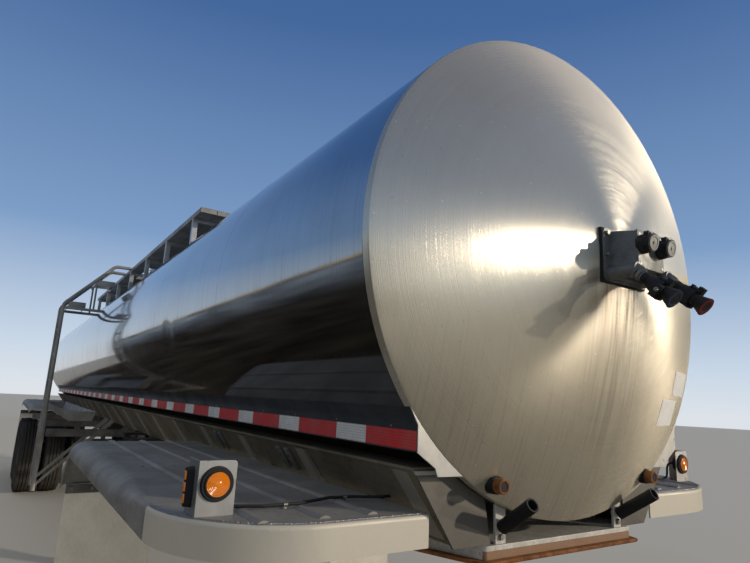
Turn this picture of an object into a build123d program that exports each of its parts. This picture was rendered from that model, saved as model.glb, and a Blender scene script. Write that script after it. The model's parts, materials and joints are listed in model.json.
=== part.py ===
from build123d import *
from math import asin, atan2, cos, degrees, radians, sin, sqrt
import os

os.makedirs("parts", exist_ok=True)

# Stainless steel tank semi-trailer with two axles and twin wheels, parked on its landing legs.
# Millimetres. +X forward, +Y to the trailer's left, +Z up.
# Origin on the ground, midway between the front air couplings and the rear bumper.

# Tank
tank_radius = 820
tank_length = 12000
tank_axis_z = 2120
tank_front_x = 5900
head_crown_radius = 1700
head_flange = 28
head_edge_radius = 5
shell_end_chamfer = 3
middle_shell_length = 1300
tank_rear_x = tank_front_x - tank_length

# Manhole, on the crown of the middle shell
manhole_x = 100
manhole_bore_radius = 254
manhole_neck_wall = 12
manhole_neck_rise = 112
manhole_rim_radius = 284
manhole_rim_height = 16
manhole_pocket_depth = 260
lid_seat_gap = 0.3
lid_plate = 12
lid_dome_rise = 46
lid_dome_radius = 232
lid_hinge_reach = 322
lid_hinge_rise = 14
lid_pin_radius = 8
lid_ear_thickness = 12
lid_ear_spacing = 90
lid_side_gap = 5.5
pin_fit = 0.05
swing_bolt_count = 6
swing_bolt_length = 74
swing_bolt_radius = 7
swing_bolt_offset = 16
swing_nut_radius = 15
swing_nut_height = 14
swing_nut_lap = 8
swing_ear_reach = 26
swing_ear_width = 30
neck_root_depth = 60
hinge_ear_lap = 12
hinge_ear_foot = 8
hinge_ear_radius = 18
hinge_ear_tip = 12
hinge_ear_step = 2
lid_pin_overhang = 6
lid_inset = 4
lid_arm_root = 8
lid_arm_sink = 2
lid_arm_height = 14
lid_arm_head = 16
lid_arm_nose = 15
lid_arm_chin = 13
lid_arm_lap = 30
lid_handle_width = 18
lid_handle_overhang = 14
lid_handle_gap = 6
lid_handle_rise = 4
lid_handle_height = 30
lid_handle_tip = 24

# Side rails, which carry the reflective tape
rail_sheet = 5
rail_top_drop = 490
rail_face_y = 630
rail_face_top_drop = 538
rail_face_bottom_drop = 608
rail_lip = 28
rail_top_flange = 8
rail_lap = 3
rail_front_gap = 4
rail_rear_gap = 496
front_plate_inner_y = 400
front_plate_inner_drop = 690
end_plate_points = ((568, 649), (559, 671), (469, 674))

# Frame: two leaning sides with flanges, from the coupler to the rear end
frame_head_y = 600
frame_head_drop = 660
frame_foot_y = 440
frame_foot_drop = 870
frame_plate = 8
frame_web_width = 10
frame_flange_overhang = 6
frame_foot_flange = 90
frame_front_x = 5850
frame_rear_gap = 50
stiffener_width = 70
stiffener_depth = 22
stiffener_margin = 4
stiffener_first_x = 5150
stiffener_pitch = 620
gusset_foot_y = 320
gusset_head_y = 360
saddle_first_x = 4900
saddle_pitch = 1240

# Upper coupler and kingpin
coupler_front_x = 5870
coupler_length = 1620
coupler_front_half_width = 350
coupler_half_width = 436
coupler_corner_length = 220
coupler_plate_thickness = 12
coupler_pan_height = 38
coupler_pan_corner_radius = 12
coupler_plate_overhang = 18
kingpin_hole_clearance = 0.3
kingpin_setback = 914
kingpin_collar_radius = 36.5
kingpin_collar_length = 35
kingpin_neck_radius = 25.4
kingpin_neck_length = 32
kingpin_foot_radius = 35.75
kingpin_foot_length = 16
kingpin_foot_chamfer = 3
coupler_edge_chamfer = 4
front_post_y = 287
front_post_width = 41
front_post_thickness = 10
front_post_setback = 4
front_post_height = 120

# Open rubber drain tubes beside the posts
drain_tube_radius = 20
drain_tube_bore_radius = 15
drain_tube_length = 150
drain_tube_drop = 823
drain_tube_rise = 31
drain_tube_splay = 5
drain_tube_run = 46
drain_tube_setback = 8

# Front fenders over the tractor's wheels
fender_sheet = 6
fender_deck_z = 1345
fender_inner_y = 536
fender_outer_y = 1200
fender_lip_height = 88
fender_front_x = 5840
fender_corner_radius = 360
fender_corner_length = 420
fender_taper_length = 500
fender_edge_radius = 14
fender_shoulder_radius = 74
front_fender_flat_end_x = 3600
fender_bend_radius = 350
fender_bend_angle = 75
bead_ys = (690, 835, 1000)
bead_half_width = 17
bead_height = 7
bead_front_gap = 46

# Rear fenders over the tandem
rear_fender_overhang = 840
rear_fender_bend_angle = 40
rear_fender_bend_radius = 300

# Fender carriers
carrier_height = 46
carrier_width = 40
carrier_outer_y = 1150
front_carrier_xs = (5560, 4720, 3720)
rear_carrier_offsets = (700, -440, -1680)
carrier_tip_gap = 60
carrier_root = 160
hanger_plate_x = 5600
hanger_plate_near_y = 645
hanger_plate_far_y = 835
hanger_plate_height = 110
hanger_plate_thickness = 6
hanger_plate_corner = 26

# Lamp brackets on the front fenders
lamp_bracket_x = 5680
lamp_bracket_near_y = 1035
lamp_bracket_far_y = 1132
lamp_bracket_height = 132
lamp_bracket_depth = 86
lamp_bracket_sheet = 4
lamp_bracket_corner = 10
round_lamp_radius = 33
round_lamp_grommet_radius = 43
round_lamp_rise = 76
round_lamp_depth = 26
round_lamp_grommet_thickness = 8
round_lamp_grommet_taper = 20
round_lamp_lens_rise = 11
side_lamp_length = 98
side_lamp_width = 26
side_lamp_depth = 18
side_lamp_taper = 8

# Amber lamps low on the front head
head_lamp_y = 370
head_lamp_drop = 695
head_lamp_radius = 19
head_lamp_reach = 58
head_lamp_base_radius = 25
head_lamp_base_reach = 34
head_lamp_root = 10

# Mud flaps
flap_thickness = 8
front_flap_near_y = 645
front_flap_step_y = 880
front_flap_far_y = 1165
front_flap_step_drop = 1223
front_flap_bottom_z = 270
front_flap_drop = 8
flap_bar_height = 62
flap_bar_thickness = 10
rear_flap_near_y = 610
rear_flap_far_y = 1200
rear_flap_setback = 300
rear_flap_top_z = 1130
rear_flap_bottom_z = 300
rear_flap_bar_root = 60

# Nose box with receptacles and air couplings, on the middle of the front head
nose_plate_half_width = 108
nose_plate_top = 73
nose_plate_bottom = 92
nose_plate_corner = 14
nose_plate_front = 221
nose_box_front = 300
nose_box_edge_radius = 5
nose_root_depth = 20
nose_box_root_half_width = 75
nose_box_front_half_width = 63
nose_box_root_top = 66
nose_box_front_top = 54
nose_box_root_bottom = 72
nose_box_front_bottom = 57
receptacle_y = 47.5
receptacle_rise = 12
receptacle_length = 34
receptacle_lid_radius = 27
receptacle_lid_thickness = 10
receptacle_lid_sink = 2
receptacle_collar_radius = 28
receptacle_tilt = 12
coupling_y = 83
coupling_start_x = 313
coupling_start_drop = 82
coupling_slope = 43
coupling_socket_radius = 21
coupling_socket_length = 26
coupling_socket_rise = 12
coupling_steps = ((0, 44, 15), (44, 58, 20), (58, 74, 25), (74, 90, 28), (90, 102, 21))
coupling_cup_start = 102
coupling_cup_end = 132
coupling_cup_root_radius = 19
coupling_cup_radius = 29
coupling_lug_reach = 40
coupling_lug_size = 17

# Lamp leads clipped to the front fender decks
lead_radius = 4.5
lead_route = ((5612, 1075), (5653, 945), (5647, 834), (5596, 712), (5603, 640), (5632, 560))
lead_bend_radius = 24

# Walkway
walkway_half_length = 2850
walkway_outer_y = 500
walkway_rise = 100
walkway_thickness = 40
plank_width = 130
plank_gap = 4
plank_count = 4
walkway_manhole_clearance = 390
walkway_manhole_side_clearance = 60
walkway_bar_height = 30
walkway_post_foot_rise = 600
walkway_post_width = 40
walkway_post_end_gap = 220
walkway_post_pitch = 885
walkway_post_count = 7

# Ladder on the right side
ladder_rear_x = -300
ladder_width = 400
ladder_rail_y = 1140
ladder_rail_radius = 19
ladder_sleeve_radius = 24
ladder_sleeve_top_z = 1220
ladder_foot_z = 550
ladder_bend_z = 2530
ladder_top_y = 667
ladder_top_rise = 34
ladder_top_clearance = 0.3
ladder_bend_radius = 90
ladder_foot_stay_lap = 8
ladder_foot_stay_rise = 40
ladder_foot_stay_height = 32
ladder_rung_first_z = 850
ladder_rung_pitch = 280
ladder_rung_count = 6
ladder_rung_radius = 13
tread_sheet = 5
lower_tread_z = 2538
lower_tread_outer_y = 1090
lower_tread_inner_y = 920
upper_tread_z = 2820
upper_tread_outer_y = 855
upper_tread_inner_y = 650
tread_lip = 34
ladder_stay_radius = 14
ladder_post_radius = 10

# Hose trays and the outriggers that carry them
tray_front_x = 900
tray_fender_gap = 260
tray_top_outer_y = 1016
tray_top_inner_y = 750
tray_bottom_outer_y = 985
tray_bottom_inner_y = 781
tray_top_drop = 724
tray_bottom_drop = 815
tray_sheet = 5
outrigger_front_inset = 120
outrigger_middle_x = -740
outrigger_rear_inset = 80
outrigger_top_drop = 900
outrigger_height = 70
outrigger_width = 60
outrigger_root = 40
outrigger_outer_y = 1150
tray_post_width = 50

# Landing gear
landing_x = 2200
landing_y = 560
landing_beam_height = 100
landing_beam_width = 120
landing_beam_half_length = 640
landing_beam_edge_radius = 10
landing_outer_tube = 124
landing_outer_bottom_z = 520
landing_inner_tube = 100
landing_ankle_z = 70
landing_shoe_size = 260
landing_shoe_thickness = 10
landing_ankle_width = 88
landing_shaft_radius = 14
landing_shaft_z = 1010
landing_gearbox_size = 120
landing_gearbox_depth = 64
landing_gearbox_height = 150
landing_brace_width = 50
landing_brace_run = 640
landing_brace_rise = 70
landing_brace_foot = 60
landing_cross_width = 120
landing_cross_thickness = 20
crank_arm_length = 330
crank_arm_width = 28
crank_arm_thickness = 14
crank_shaft_length = 28
crank_grip_radius = 13
crank_grip_length = 110

# Wheels and axles
rear_axle_setback = 1450
axle_spacing = 1250
tyre_radius = 522
tyre_width = 280
tyre_bead_radius = 285
tyre_tread_radius_drop = 9
outer_tyre_y = 1080
dual_spacing = 340
rim_flange_radius = 299
rim_width = 236
rim_well_radius = 252
rim_thickness = 9
wheel_disc_thickness = 11
wheel_disc_flat_radius = 172
hand_hole_count = 10
hand_hole_radius = 25
hand_hole_circle = 212
hub_flange_radius = 152
hub_radius = 92
hub_inner_y = 712
hub_outer_y = 1032
hub_cap_radius = 74
hub_cap_y = 1078
spindle_radius = 38
spindle_end_y = 1020
drum_radius = 210
drum_wall = 22
drum_inner_y = 716
axle_tube_radius = 64
axle_shoulder_y = 700
axle_taper_length = 20
backing_plate_radius = 208
backing_plate_thickness = 6
backing_plate_gap = 6
brake_block_radius = 180
brake_block_gap = 8
brake_chamber_radius = 78
brake_chamber_length = 150
brake_chamber_y = 300
brake_chamber_gap = 30
brake_chamber_rise = 40
brake_bracket_offset = 20
brake_bracket_setback = 30
brake_bracket_length = 90
brake_bracket_thickness = 14
brake_bracket_height = 80

# Air suspension
suspension_y = 450
hanger_forward = 560
hanger_length = 190
hanger_width = 100
hanger_wall = 8
hanger_foot_half = 60
hanger_foot_drop = 50
hanger_cover = 16
hanger_cover_rise = 90
hanger_head_thickness = 12
pivot_bolt_overhang = 16
trailing_arm_pivot_z = 640
trailing_arm_width = 80
trailing_arm_height = 110
trailing_arm_pin_radius = 26
arm_pad_height = 50
arm_eye_reach = 44
arm_eye_half_height = 42
arm_seat_half_length = 110
spring_back = 360
spring_seat_rise = 40
spring_radius = 118
spring_foot_radius = 88
spring_piston_radius = 74
spring_bellows_radius = 110
spring_head_radius = 98
spring_head_height = 14
spring_piston_share = 0.42
spring_roll_share = 0.55
spring_bellows_share = 0.72
shock_radius = 30
shock_rod_radius = 14
shock_eye_radius = 24
shock_foot_forward = 40
shock_top_forward = 130
shock_foot_rise = 118
shock_rod_length = 280

# Rear end
bumper_reach = 229.7
bumper_tube = 100
bumper_half_width = 1150
bumper_bottom_z = 450
bumper_leg_y = 395
bumper_leg_width = 80
bumper_leg_inset = 10
bumper_arm_lap = 200
lamp_bar_height = 130
lamp_bar_z = 900
tail_lamp_radius = 52
tail_lamp_depth = 34
tail_lamp_taper = 12
tail_lamp_ys = (820, 960, 1100)

# Outlet pipe under the tank
outlet_setback = 450
outlet_pipe_radius = 51
outlet_pipe_bore_radius = 47
outlet_axis_z = 1110
outlet_bend_radius = 90
outlet_reach = 160
outlet_flange_radius = 82
outlet_flange_thickness = 14
outlet_valve_setback = 110
outlet_valve_length = 130
outlet_valve_radius = 76
outlet_sump_radius = 110
outlet_sump_drop = 30
outlet_pipe_lap = 20
outlet_bore_depth = 90

# Air reservoirs
reservoir_offsets = (1840, 1500)
reservoir_radius = 120
reservoir_length = 620
reservoir_end_radius = 30
reservoir_strap_width = 36
reservoir_strap_thickness = 5
reservoir_bar_thickness = 10
reservoir_strap_y = 200
reservoir_bar_width = 60
reservoir_bar_gap = 40

# Vent lug ahead of the walkway
vent_x = 3600
vent_radius = 11
vent_height = 96
vent_base_radius = 34
vent_base_height = 16
vent_root_depth = 4

head_depth = head_crown_radius - sqrt(head_crown_radius**2 - tank_radius**2)
frame_foot_z = tank_axis_z - frame_foot_drop
frame_head_z = tank_axis_z - frame_head_drop
frame_lean = (frame_head_y - frame_foot_y) / (frame_head_z - frame_foot_z)
coupler_plate_z = frame_foot_z - coupler_pan_height - coupler_plate_thickness
tank_top_z = tank_axis_z + tank_radius
manhole_rim_z = tank_top_z + manhole_neck_rise
wheel_axle_z = tyre_radius
wheel_disc_y = outer_tyre_y - dual_spacing / 2
walkway_top_z = tank_top_z + walkway_rise
bumper_rear_x = tank_rear_x - bumper_reach
frame_rear_x = tank_rear_x + frame_rear_gap
rail_length = tank_length - rail_front_gap - rail_rear_gap
axle_xs = (tank_rear_x + rear_axle_setback + axle_spacing, tank_rear_x + rear_axle_setback)
rear_fender_front_x = axle_xs[0] + rear_fender_overhang
rear_fender_rear_x = axle_xs[1] - rear_fender_overhang
carrier_xs = (*front_carrier_xs, *[axle_xs[0] + offset for offset in rear_carrier_offsets])
rear_flap_x = tank_rear_x + rear_flap_setback
tray_rear_x = rear_fender_front_x + tray_fender_gap
outrigger_xs = (tray_front_x - outrigger_front_inset, outrigger_middle_x, tray_rear_x + outrigger_rear_inset)
walkway_front_x = manhole_x + walkway_half_length
walkway_rear_x = manhole_x - walkway_half_length
stiffener_count = int((stiffener_first_x - frame_rear_x) / stiffener_pitch)
saddle_count = int((saddle_first_x - frame_rear_x) / saddle_pitch) + 1


def tank_half_width(height):
    """Half the tank's width at a height above the ground."""
    return sqrt(tank_radius**2 - (height - tank_axis_z) ** 2)


def tank_underside(y):
    """Height of the tank's underside at a distance from its middle."""
    return tank_axis_z - sqrt(tank_radius**2 - y**2)


def frame_side_y(height):
    """Outer face of the frame's leaning side at a height."""
    return frame_foot_y + (height - frame_foot_z) * frame_lean


def save(block, name):
    """Label a finished piece and write it under its own name."""
    block.part.label = name
    export_step(block.part, f"parts/{name}.step")


# Tank shells: three courses welded end to end
front_course_x = tank_front_x - head_flange
rear_course_x = tank_rear_x + head_flange
middle_front_x = manhole_x + middle_shell_length / 2
middle_rear_x = manhole_x - middle_shell_length / 2

with BuildPart() as tank_end_shells:
    for course_x, course_length in (
        (middle_front_x, front_course_x - middle_front_x),
        (rear_course_x, middle_rear_x - rear_course_x),
    ):
        with BuildSketch(Plane.YZ.offset(course_x)):
            with Locations((0, tank_axis_z)):
                Circle(tank_radius)
        extrude(amount=course_length)
    end_faces = tank_end_shells.faces().filter_by(GeomType.PLANE).sort_by(Axis.X)
    chamfer([*end_faces[0].edges(), *end_faces[-1].edges()], shell_end_chamfer)
save(tank_end_shells, "tank_end_shells")

with BuildPart() as tank_middle_shell:
    with BuildSketch(Plane.YZ.offset(middle_rear_x)):
        with Locations((0, tank_axis_z)):
            Circle(tank_radius)
    extrude(amount=middle_shell_length)
    with BuildSketch(Plane.XY.offset(tank_top_z - manhole_pocket_depth)):
        with Locations((manhole_x, 0)):
            Circle(manhole_bore_radius)
    extrude(amount=manhole_pocket_depth, mode=Mode.SUBTRACT)
save(tank_middle_shell, "tank_middle_shell")

# Dished heads, revolved about the tank's axis
tank_axis = Axis((0, 0, tank_axis_z), (1, 0, 0))
crown_half_angle = degrees(asin(tank_radius / head_crown_radius))
crown_tip_x = tank_front_x + head_depth

with BuildPart() as front_head:
    with BuildSketch(Plane.XZ):
        with BuildLine():
            crown = CenterArc(
                (crown_tip_x - head_crown_radius, tank_axis_z), head_crown_radius, 0, crown_half_angle
            )
            Polyline(
                crown @ 0,
                (front_course_x, tank_axis_z),
                (front_course_x, tank_axis_z + tank_radius),
                crown @ 1,
            )
        make_face()
    revolve(axis=tank_axis)
    full_circles = front_head.edges().filter_by(lambda edge: edge.length > 6 * tank_radius)
    fillet(full_circles.sort_by(Axis.X)[-1], head_edge_radius)

with BuildPart() as tank_heads:
    add(front_head.part)
    mirror(about=Plane.YZ.offset((tank_front_x + tank_rear_x) / 2))
save(tank_heads, "tank_heads")

# Manhole neck with its rim, hinge ears and swing bolt ears
lid_hinge_z = manhole_rim_z + lid_hinge_rise
pin_half_length = lid_ear_spacing / 2 + lid_ear_thickness / 2 + lid_pin_overhang
with BuildPart() as manhole_neck:
    with BuildSketch(Plane.XY.offset(tank_top_z - neck_root_depth)):
        with Locations((manhole_x, 0)):
            Circle(manhole_bore_radius + manhole_neck_wall)
            Circle(manhole_bore_radius, mode=Mode.SUBTRACT)
    extrude(amount=neck_root_depth + manhole_neck_rise)
    with BuildSketch(Plane.XY.offset(manhole_rim_z - manhole_rim_height)):
        with Locations((manhole_x, 0)):
            Circle(manhole_rim_radius)
            Circle(manhole_bore_radius, mode=Mode.SUBTRACT)
    extrude(amount=manhole_rim_height)
    for side in (-1, 1):
        ear_x = manhole_x + side * lid_ear_spacing / 2
        with BuildSketch(Plane.YZ.offset(ear_x - lid_ear_thickness / 2)):
            with BuildLine():
                Polyline(
                    (manhole_rim_radius - hinge_ear_lap, manhole_rim_z - manhole_rim_height),
                    (lid_hinge_reach + hinge_ear_foot, manhole_rim_z - manhole_rim_height),
                    (lid_hinge_reach + hinge_ear_radius, lid_hinge_z),
                    (lid_hinge_reach + hinge_ear_tip, lid_hinge_z + hinge_ear_radius),
                    (lid_hinge_reach - hinge_ear_tip, lid_hinge_z + hinge_ear_radius),
                    (lid_hinge_reach - hinge_ear_radius, lid_hinge_z),
                    (manhole_rim_radius + hinge_ear_step, manhole_rim_z - hinge_ear_step),
                    (manhole_rim_radius - hinge_ear_lap, manhole_rim_z - hinge_ear_step),
                    close=True,
                )
            make_face()
        extrude(amount=lid_ear_thickness)
    with BuildSketch(Plane.YZ.offset(manhole_x - pin_half_length)):
        with Locations((lid_hinge_reach, lid_hinge_z)):
            Circle(lid_pin_radius)
    extrude(amount=2 * pin_half_length)
    with BuildSketch(Plane.YZ.offset(tank_rear_x)):
        with Locations((0, tank_axis_z)):
            Circle(tank_radius)
    extrude(amount=tank_length, mode=Mode.SUBTRACT)
save(manhole_neck, "manhole_neck")

# Swing bolts hang outward from the rim, as they do when the lid is free to open
with BuildPart() as manhole_swing_bolts:
    for index in range(swing_bolt_count):
        angle = 360 / swing_bolt_count * index
        at_bolt = Plane(
            origin=(manhole_x, 0, manhole_rim_z - manhole_rim_height / 2),
            x_dir=(cos(radians(angle)), sin(radians(angle)), 0),
            z_dir=(0, 0, 1),
        )
        with BuildSketch(at_bolt.offset(-manhole_rim_height / 2)):
            with Locations((manhole_rim_radius + swing_ear_reach / 2, 0)):
                Rectangle(swing_ear_reach, swing_ear_width)
            with BuildSketch(mode=Mode.SUBTRACT):
                Circle(manhole_rim_radius)
        extrude(amount=manhole_rim_height)
        with BuildSketch(at_bolt.offset(-manhole_rim_height / 2 - swing_bolt_length)):
            with Locations((manhole_rim_radius + swing_bolt_offset, 0)):
                Circle(swing_bolt_radius)
        extrude(amount=swing_bolt_length)
        with BuildSketch(at_bolt.offset(-manhole_rim_height / 2 - swing_bolt_length + swing_nut_lap)):
            with Locations((manhole_rim_radius + swing_bolt_offset, 0)):
                RegularPolygon(swing_nut_radius, 6)
        extrude(amount=swing_nut_height)
save(manhole_swing_bolts, "manhole_swing_bolts")

# Manhole lid: a domed plate with a hinge knuckle between the ears
lid_bottom_z = manhole_rim_z + lid_seat_gap
knuckle_half_width = lid_ear_spacing / 2 - lid_ear_thickness / 2 - lid_side_gap
with BuildPart() as manhole_lid:
    with BuildSketch(Plane.XZ):
        with BuildLine():
            Polyline(
                (manhole_x + lid_dome_radius, lid_bottom_z + lid_plate),
                (manhole_x + manhole_rim_radius - lid_inset, lid_bottom_z + lid_plate),
                (manhole_x + manhole_rim_radius - lid_inset, lid_bottom_z),
                (manhole_x, lid_bottom_z),
                (manhole_x, lid_bottom_z + lid_plate + lid_dome_rise),
            )
            dome_radius = (lid_dome_radius**2 + lid_dome_rise**2) / (2 * lid_dome_rise)
            dome_centre_z = lid_bottom_z + lid_plate + lid_dome_rise - dome_radius
            CenterArc(
                (manhole_x, dome_centre_z),
                dome_radius,
                90 - degrees(asin(lid_dome_radius / dome_radius)),
                degrees(asin(lid_dome_radius / dome_radius)),
            )
        make_face()
    revolve(axis=Axis((manhole_x, 0, 0), (0, 0, 1)))
    with BuildSketch(Plane.YZ.offset(manhole_x - knuckle_half_width)):
        with BuildLine():
            Polyline(
                (lid_dome_radius + lid_arm_root, lid_bottom_z + lid_plate - lid_arm_sink),
                (lid_dome_radius + lid_arm_root, lid_bottom_z + lid_plate + lid_arm_height),
                (lid_hinge_reach, lid_hinge_z + lid_arm_head),
                (lid_hinge_reach + lid_arm_nose, lid_hinge_z),
                (lid_hinge_reach, lid_hinge_z - lid_arm_chin),
                (manhole_rim_radius + lid_inset, lid_bottom_z + lid_arm_sink),
                (lid_dome_radius + lid_arm_lap, lid_bottom_z + lid_arm_sink),
                close=True,
            )
        make_face()
        with Locations((lid_hinge_reach, lid_hinge_z)):
            Circle(lid_pin_radius + pin_fit, mode=Mode.SUBTRACT)
    extrude(amount=2 * knuckle_half_width)
    with BuildSketch(Plane.YZ.offset(manhole_x - lid_handle_width / 2)):
        with BuildLine():
            Polyline(
                (-manhole_rim_radius - lid_handle_overhang, lid_bottom_z + lid_handle_rise),
                (-lid_dome_radius - lid_handle_gap, lid_bottom_z + lid_handle_rise),
                (-lid_dome_radius - lid_handle_gap, lid_bottom_z + lid_plate + lid_handle_height),
                (-lid_dome_radius - lid_handle_tip, lid_bottom_z + lid_plate + lid_handle_height),
                close=True,
            )
        make_face()
    extrude(amount=lid_handle_width)
save(manhole_lid, "manhole_lid")

# Side rails: bent sheet from the tank's flank, with a face for the tape and a lip below
rail_top_z = tank_axis_z - rail_top_drop
rail_face_top_z = tank_axis_z - rail_face_top_drop
rail_face_bottom_z = tank_axis_z - rail_face_bottom_drop
rail_front_x = tank_front_x - rail_front_gap
rail_top_y = tank_half_width(rail_top_z)
with BuildPart() as side_rails:
    with BuildSketch(Plane.YZ.offset(rail_front_x - rail_length)):
        with BuildLine():
            Polyline(
                (rail_top_y, rail_top_z),
                (rail_face_y, rail_face_top_z),
                (rail_face_y, rail_face_bottom_z),
                (rail_face_y - rail_lip, rail_face_bottom_z),
                (rail_face_y - rail_lip, rail_face_bottom_z + rail_sheet),
                (rail_face_y - rail_sheet, rail_face_bottom_z + rail_sheet),
                (rail_face_y - rail_sheet, rail_face_top_z - 1),
                (tank_half_width(rail_top_z - rail_top_flange) - rail_lap, rail_top_z - rail_top_flange),
                close=True,
            )
        make_face()
        with Locations((0, tank_axis_z)):
            Circle(tank_radius, mode=Mode.SUBTRACT)
    extrude(amount=rail_length)
    mirror(about=Plane.XZ)
save(side_rails, "side_rails")

# Bright plates that close the rails and the frame sides at their front ends
frame_flange_y = frame_head_y + frame_flange_overhang
with BuildPart() as front_plates:
    with BuildSketch(Plane.YZ.offset(rail_front_x)):
        with BuildLine():
            Polyline(
                (rail_top_y, rail_top_z),
                (rail_face_y, rail_face_top_z),
                (rail_face_y, rail_face_bottom_z),
                *[(y, tank_axis_z - drop) for y, drop in end_plate_points],
                (front_plate_inner_y, tank_axis_z - front_plate_inner_drop),
                close=True,
            )
        make_face()
        with Locations((0, tank_axis_z)):
            Circle(tank_radius, mode=Mode.SUBTRACT)
    extrude(amount=rail_front_gap)
    with BuildSketch(Plane.YZ.offset(frame_front_x)):
        with BuildLine():
            Polyline(
                (frame_flange_y, frame_head_z),
                (frame_side_y(frame_foot_z) + stiffener_depth, frame_foot_z),
                (gusset_foot_y, frame_foot_z),
                (gusset_head_y, frame_head_z),
                close=True,
            )
        make_face()
        with Locations((0, tank_axis_z)):
            Circle(tank_radius, mode=Mode.SUBTRACT)
    extrude(amount=frame_plate)
    mirror(about=Plane.XZ)
save(front_plates, "front_plates")

# Frame sides: flange under the rail, leaning web and foot flange, in one bent section
foot_flange_y = frame_foot_y - frame_foot_flange
stiffener_top_z = frame_head_z - stiffener_margin
stiffener_foot_z = frame_foot_z + stiffener_margin
with BuildPart() as frame_sides:
    with BuildSketch(Plane.YZ.offset(frame_rear_x)):
        with BuildLine():
            Polyline(
                (frame_flange_y, frame_head_z + frame_plate),
                (frame_flange_y, frame_head_z),
                (frame_head_y, frame_head_z),
                (frame_foot_y, frame_foot_z),
                (foot_flange_y, frame_foot_z),
                (foot_flange_y, frame_foot_z + frame_plate),
                (frame_side_y(frame_foot_z + frame_plate) - frame_web_width, frame_foot_z + frame_plate),
                (frame_head_y - frame_web_width, frame_head_z),
                (frame_foot_y, frame_head_z),
                (frame_foot_y, frame_head_z + frame_plate),
                close=True,
            )
        make_face()
        with Locations((0, tank_axis_z)):
            Circle(tank_radius, mode=Mode.SUBTRACT)
    extrude(amount=frame_front_x - frame_rear_x)
    for index in range(stiffener_count):
        stiffener_x = stiffener_first_x - index * stiffener_pitch
        with BuildSketch(Plane.YZ.offset(stiffener_x - stiffener_width / 2)):
            with BuildLine():
                Polyline(
                    (frame_side_y(stiffener_top_z), stiffener_top_z),
                    (frame_side_y(stiffener_foot_z), stiffener_foot_z),
                    (frame_side_y(stiffener_foot_z) + stiffener_depth, stiffener_foot_z),
                    (frame_side_y(stiffener_top_z) + stiffener_depth / 2, stiffener_top_z),
                    close=True,
                )
            make_face()
        extrude(amount=stiffener_width)
    mirror(about=Plane.XZ)
save(frame_sides, "frame_sides")

# Saddles tie the two sides under the tank
saddle_top_y = frame_side_y(frame_head_z) - frame_web_width
saddle_foot_y = frame_side_y(frame_foot_z + frame_plate) - frame_web_width
with BuildPart() as frame_saddles:
    for index in range(saddle_count):
        with BuildSketch(Plane.YZ.offset(saddle_first_x - index * saddle_pitch)):
            with BuildLine():
                Polyline(
                    (-saddle_foot_y, frame_foot_z + frame_plate),
                    (saddle_foot_y, frame_foot_z + frame_plate),
                    (saddle_top_y, frame_head_z),
                    (-saddle_top_y, frame_head_z),
                    close=True,
                )
            make_face()
            with Locations((0, tank_axis_z)):
                Circle(tank_radius, mode=Mode.SUBTRACT)
        extrude(amount=frame_plate)
save(frame_saddles, "frame_saddles")

# Upper coupler: an aluminium pan with the steel wear plate and kingpin beneath
coupler_rear_x = coupler_front_x - coupler_length
kingpin_x = tank_front_x - kingpin_setback


def coupler_outline(margin):
    """Corners of the coupler's plan, grown by a margin at the front and sides."""
    front = coupler_front_x + margin
    narrow = coupler_front_half_width + margin
    wide = coupler_half_width + margin
    shoulder = coupler_front_x - coupler_corner_length
    return [
        (front, -narrow),
        (shoulder, -wide),
        (coupler_rear_x, -wide),
        (coupler_rear_x, wide),
        (shoulder, wide),
        (front, narrow),
    ]


with BuildPart() as coupler_pan:
    with BuildSketch(Plane.XY.offset(coupler_plate_z + coupler_plate_thickness)):
        with BuildLine():
            Polyline(*coupler_outline(0), close=True)
        make_face()
    extrude(amount=coupler_pan_height)
    fillet(coupler_pan.edges().filter_by(Axis.Z).group_by(Axis.X)[-1], coupler_pan_corner_radius)
save(coupler_pan, "coupler_pan")

with BuildPart() as coupler_plate:
    with BuildSketch(Plane.XY.offset(coupler_plate_z)):
        with BuildLine():
            Polyline(*coupler_outline(coupler_plate_overhang), close=True)
        make_face()
    extrude(amount=coupler_plate_thickness)
    chamfer(coupler_plate.faces().sort_by(Axis.Z)[0].edges(), coupler_edge_chamfer)
    with BuildSketch(Plane.XY.offset(coupler_plate_z)):
        with Locations((kingpin_x, 0)):
            Circle(kingpin_collar_radius + kingpin_hole_clearance)
    extrude(amount=coupler_plate_thickness, mode=Mode.SUBTRACT)
save(coupler_plate, "coupler_plate")

kingpin_steps = (
    (kingpin_collar_radius, coupler_plate_thickness + kingpin_collar_length),
    (kingpin_neck_radius, kingpin_neck_length),
    (kingpin_foot_radius, kingpin_foot_length),
)
with BuildPart() as kingpin:
    step_z = coupler_plate_z + coupler_plate_thickness
    for step_radius, step_length in kingpin_steps:
        step_z -= step_length
        with BuildSketch(Plane.XY.offset(step_z)):
            with Locations((kingpin_x, 0)):
                Circle(step_radius)
        extrude(amount=step_length)
    chamfer(kingpin.faces().sort_by(Axis.Z)[0].edges(), kingpin_foot_chamfer)
save(kingpin, "kingpin")

# Bright flat posts between the coupler's front edge and the tank
with BuildPart() as front_posts:
    post_front_x = coupler_front_x - front_post_setback
    with BuildSketch(Plane.YZ.offset(post_front_x - front_post_thickness)):
        with Locations((front_post_y, frame_foot_z + front_post_height / 2)):
            Rectangle(front_post_width, front_post_height)
        with Locations((0, tank_axis_z)):
            Circle(tank_radius, mode=Mode.SUBTRACT)
    extrude(amount=front_post_thickness)
    mirror(about=Plane.XZ)
save(front_posts, "front_posts")

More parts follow.
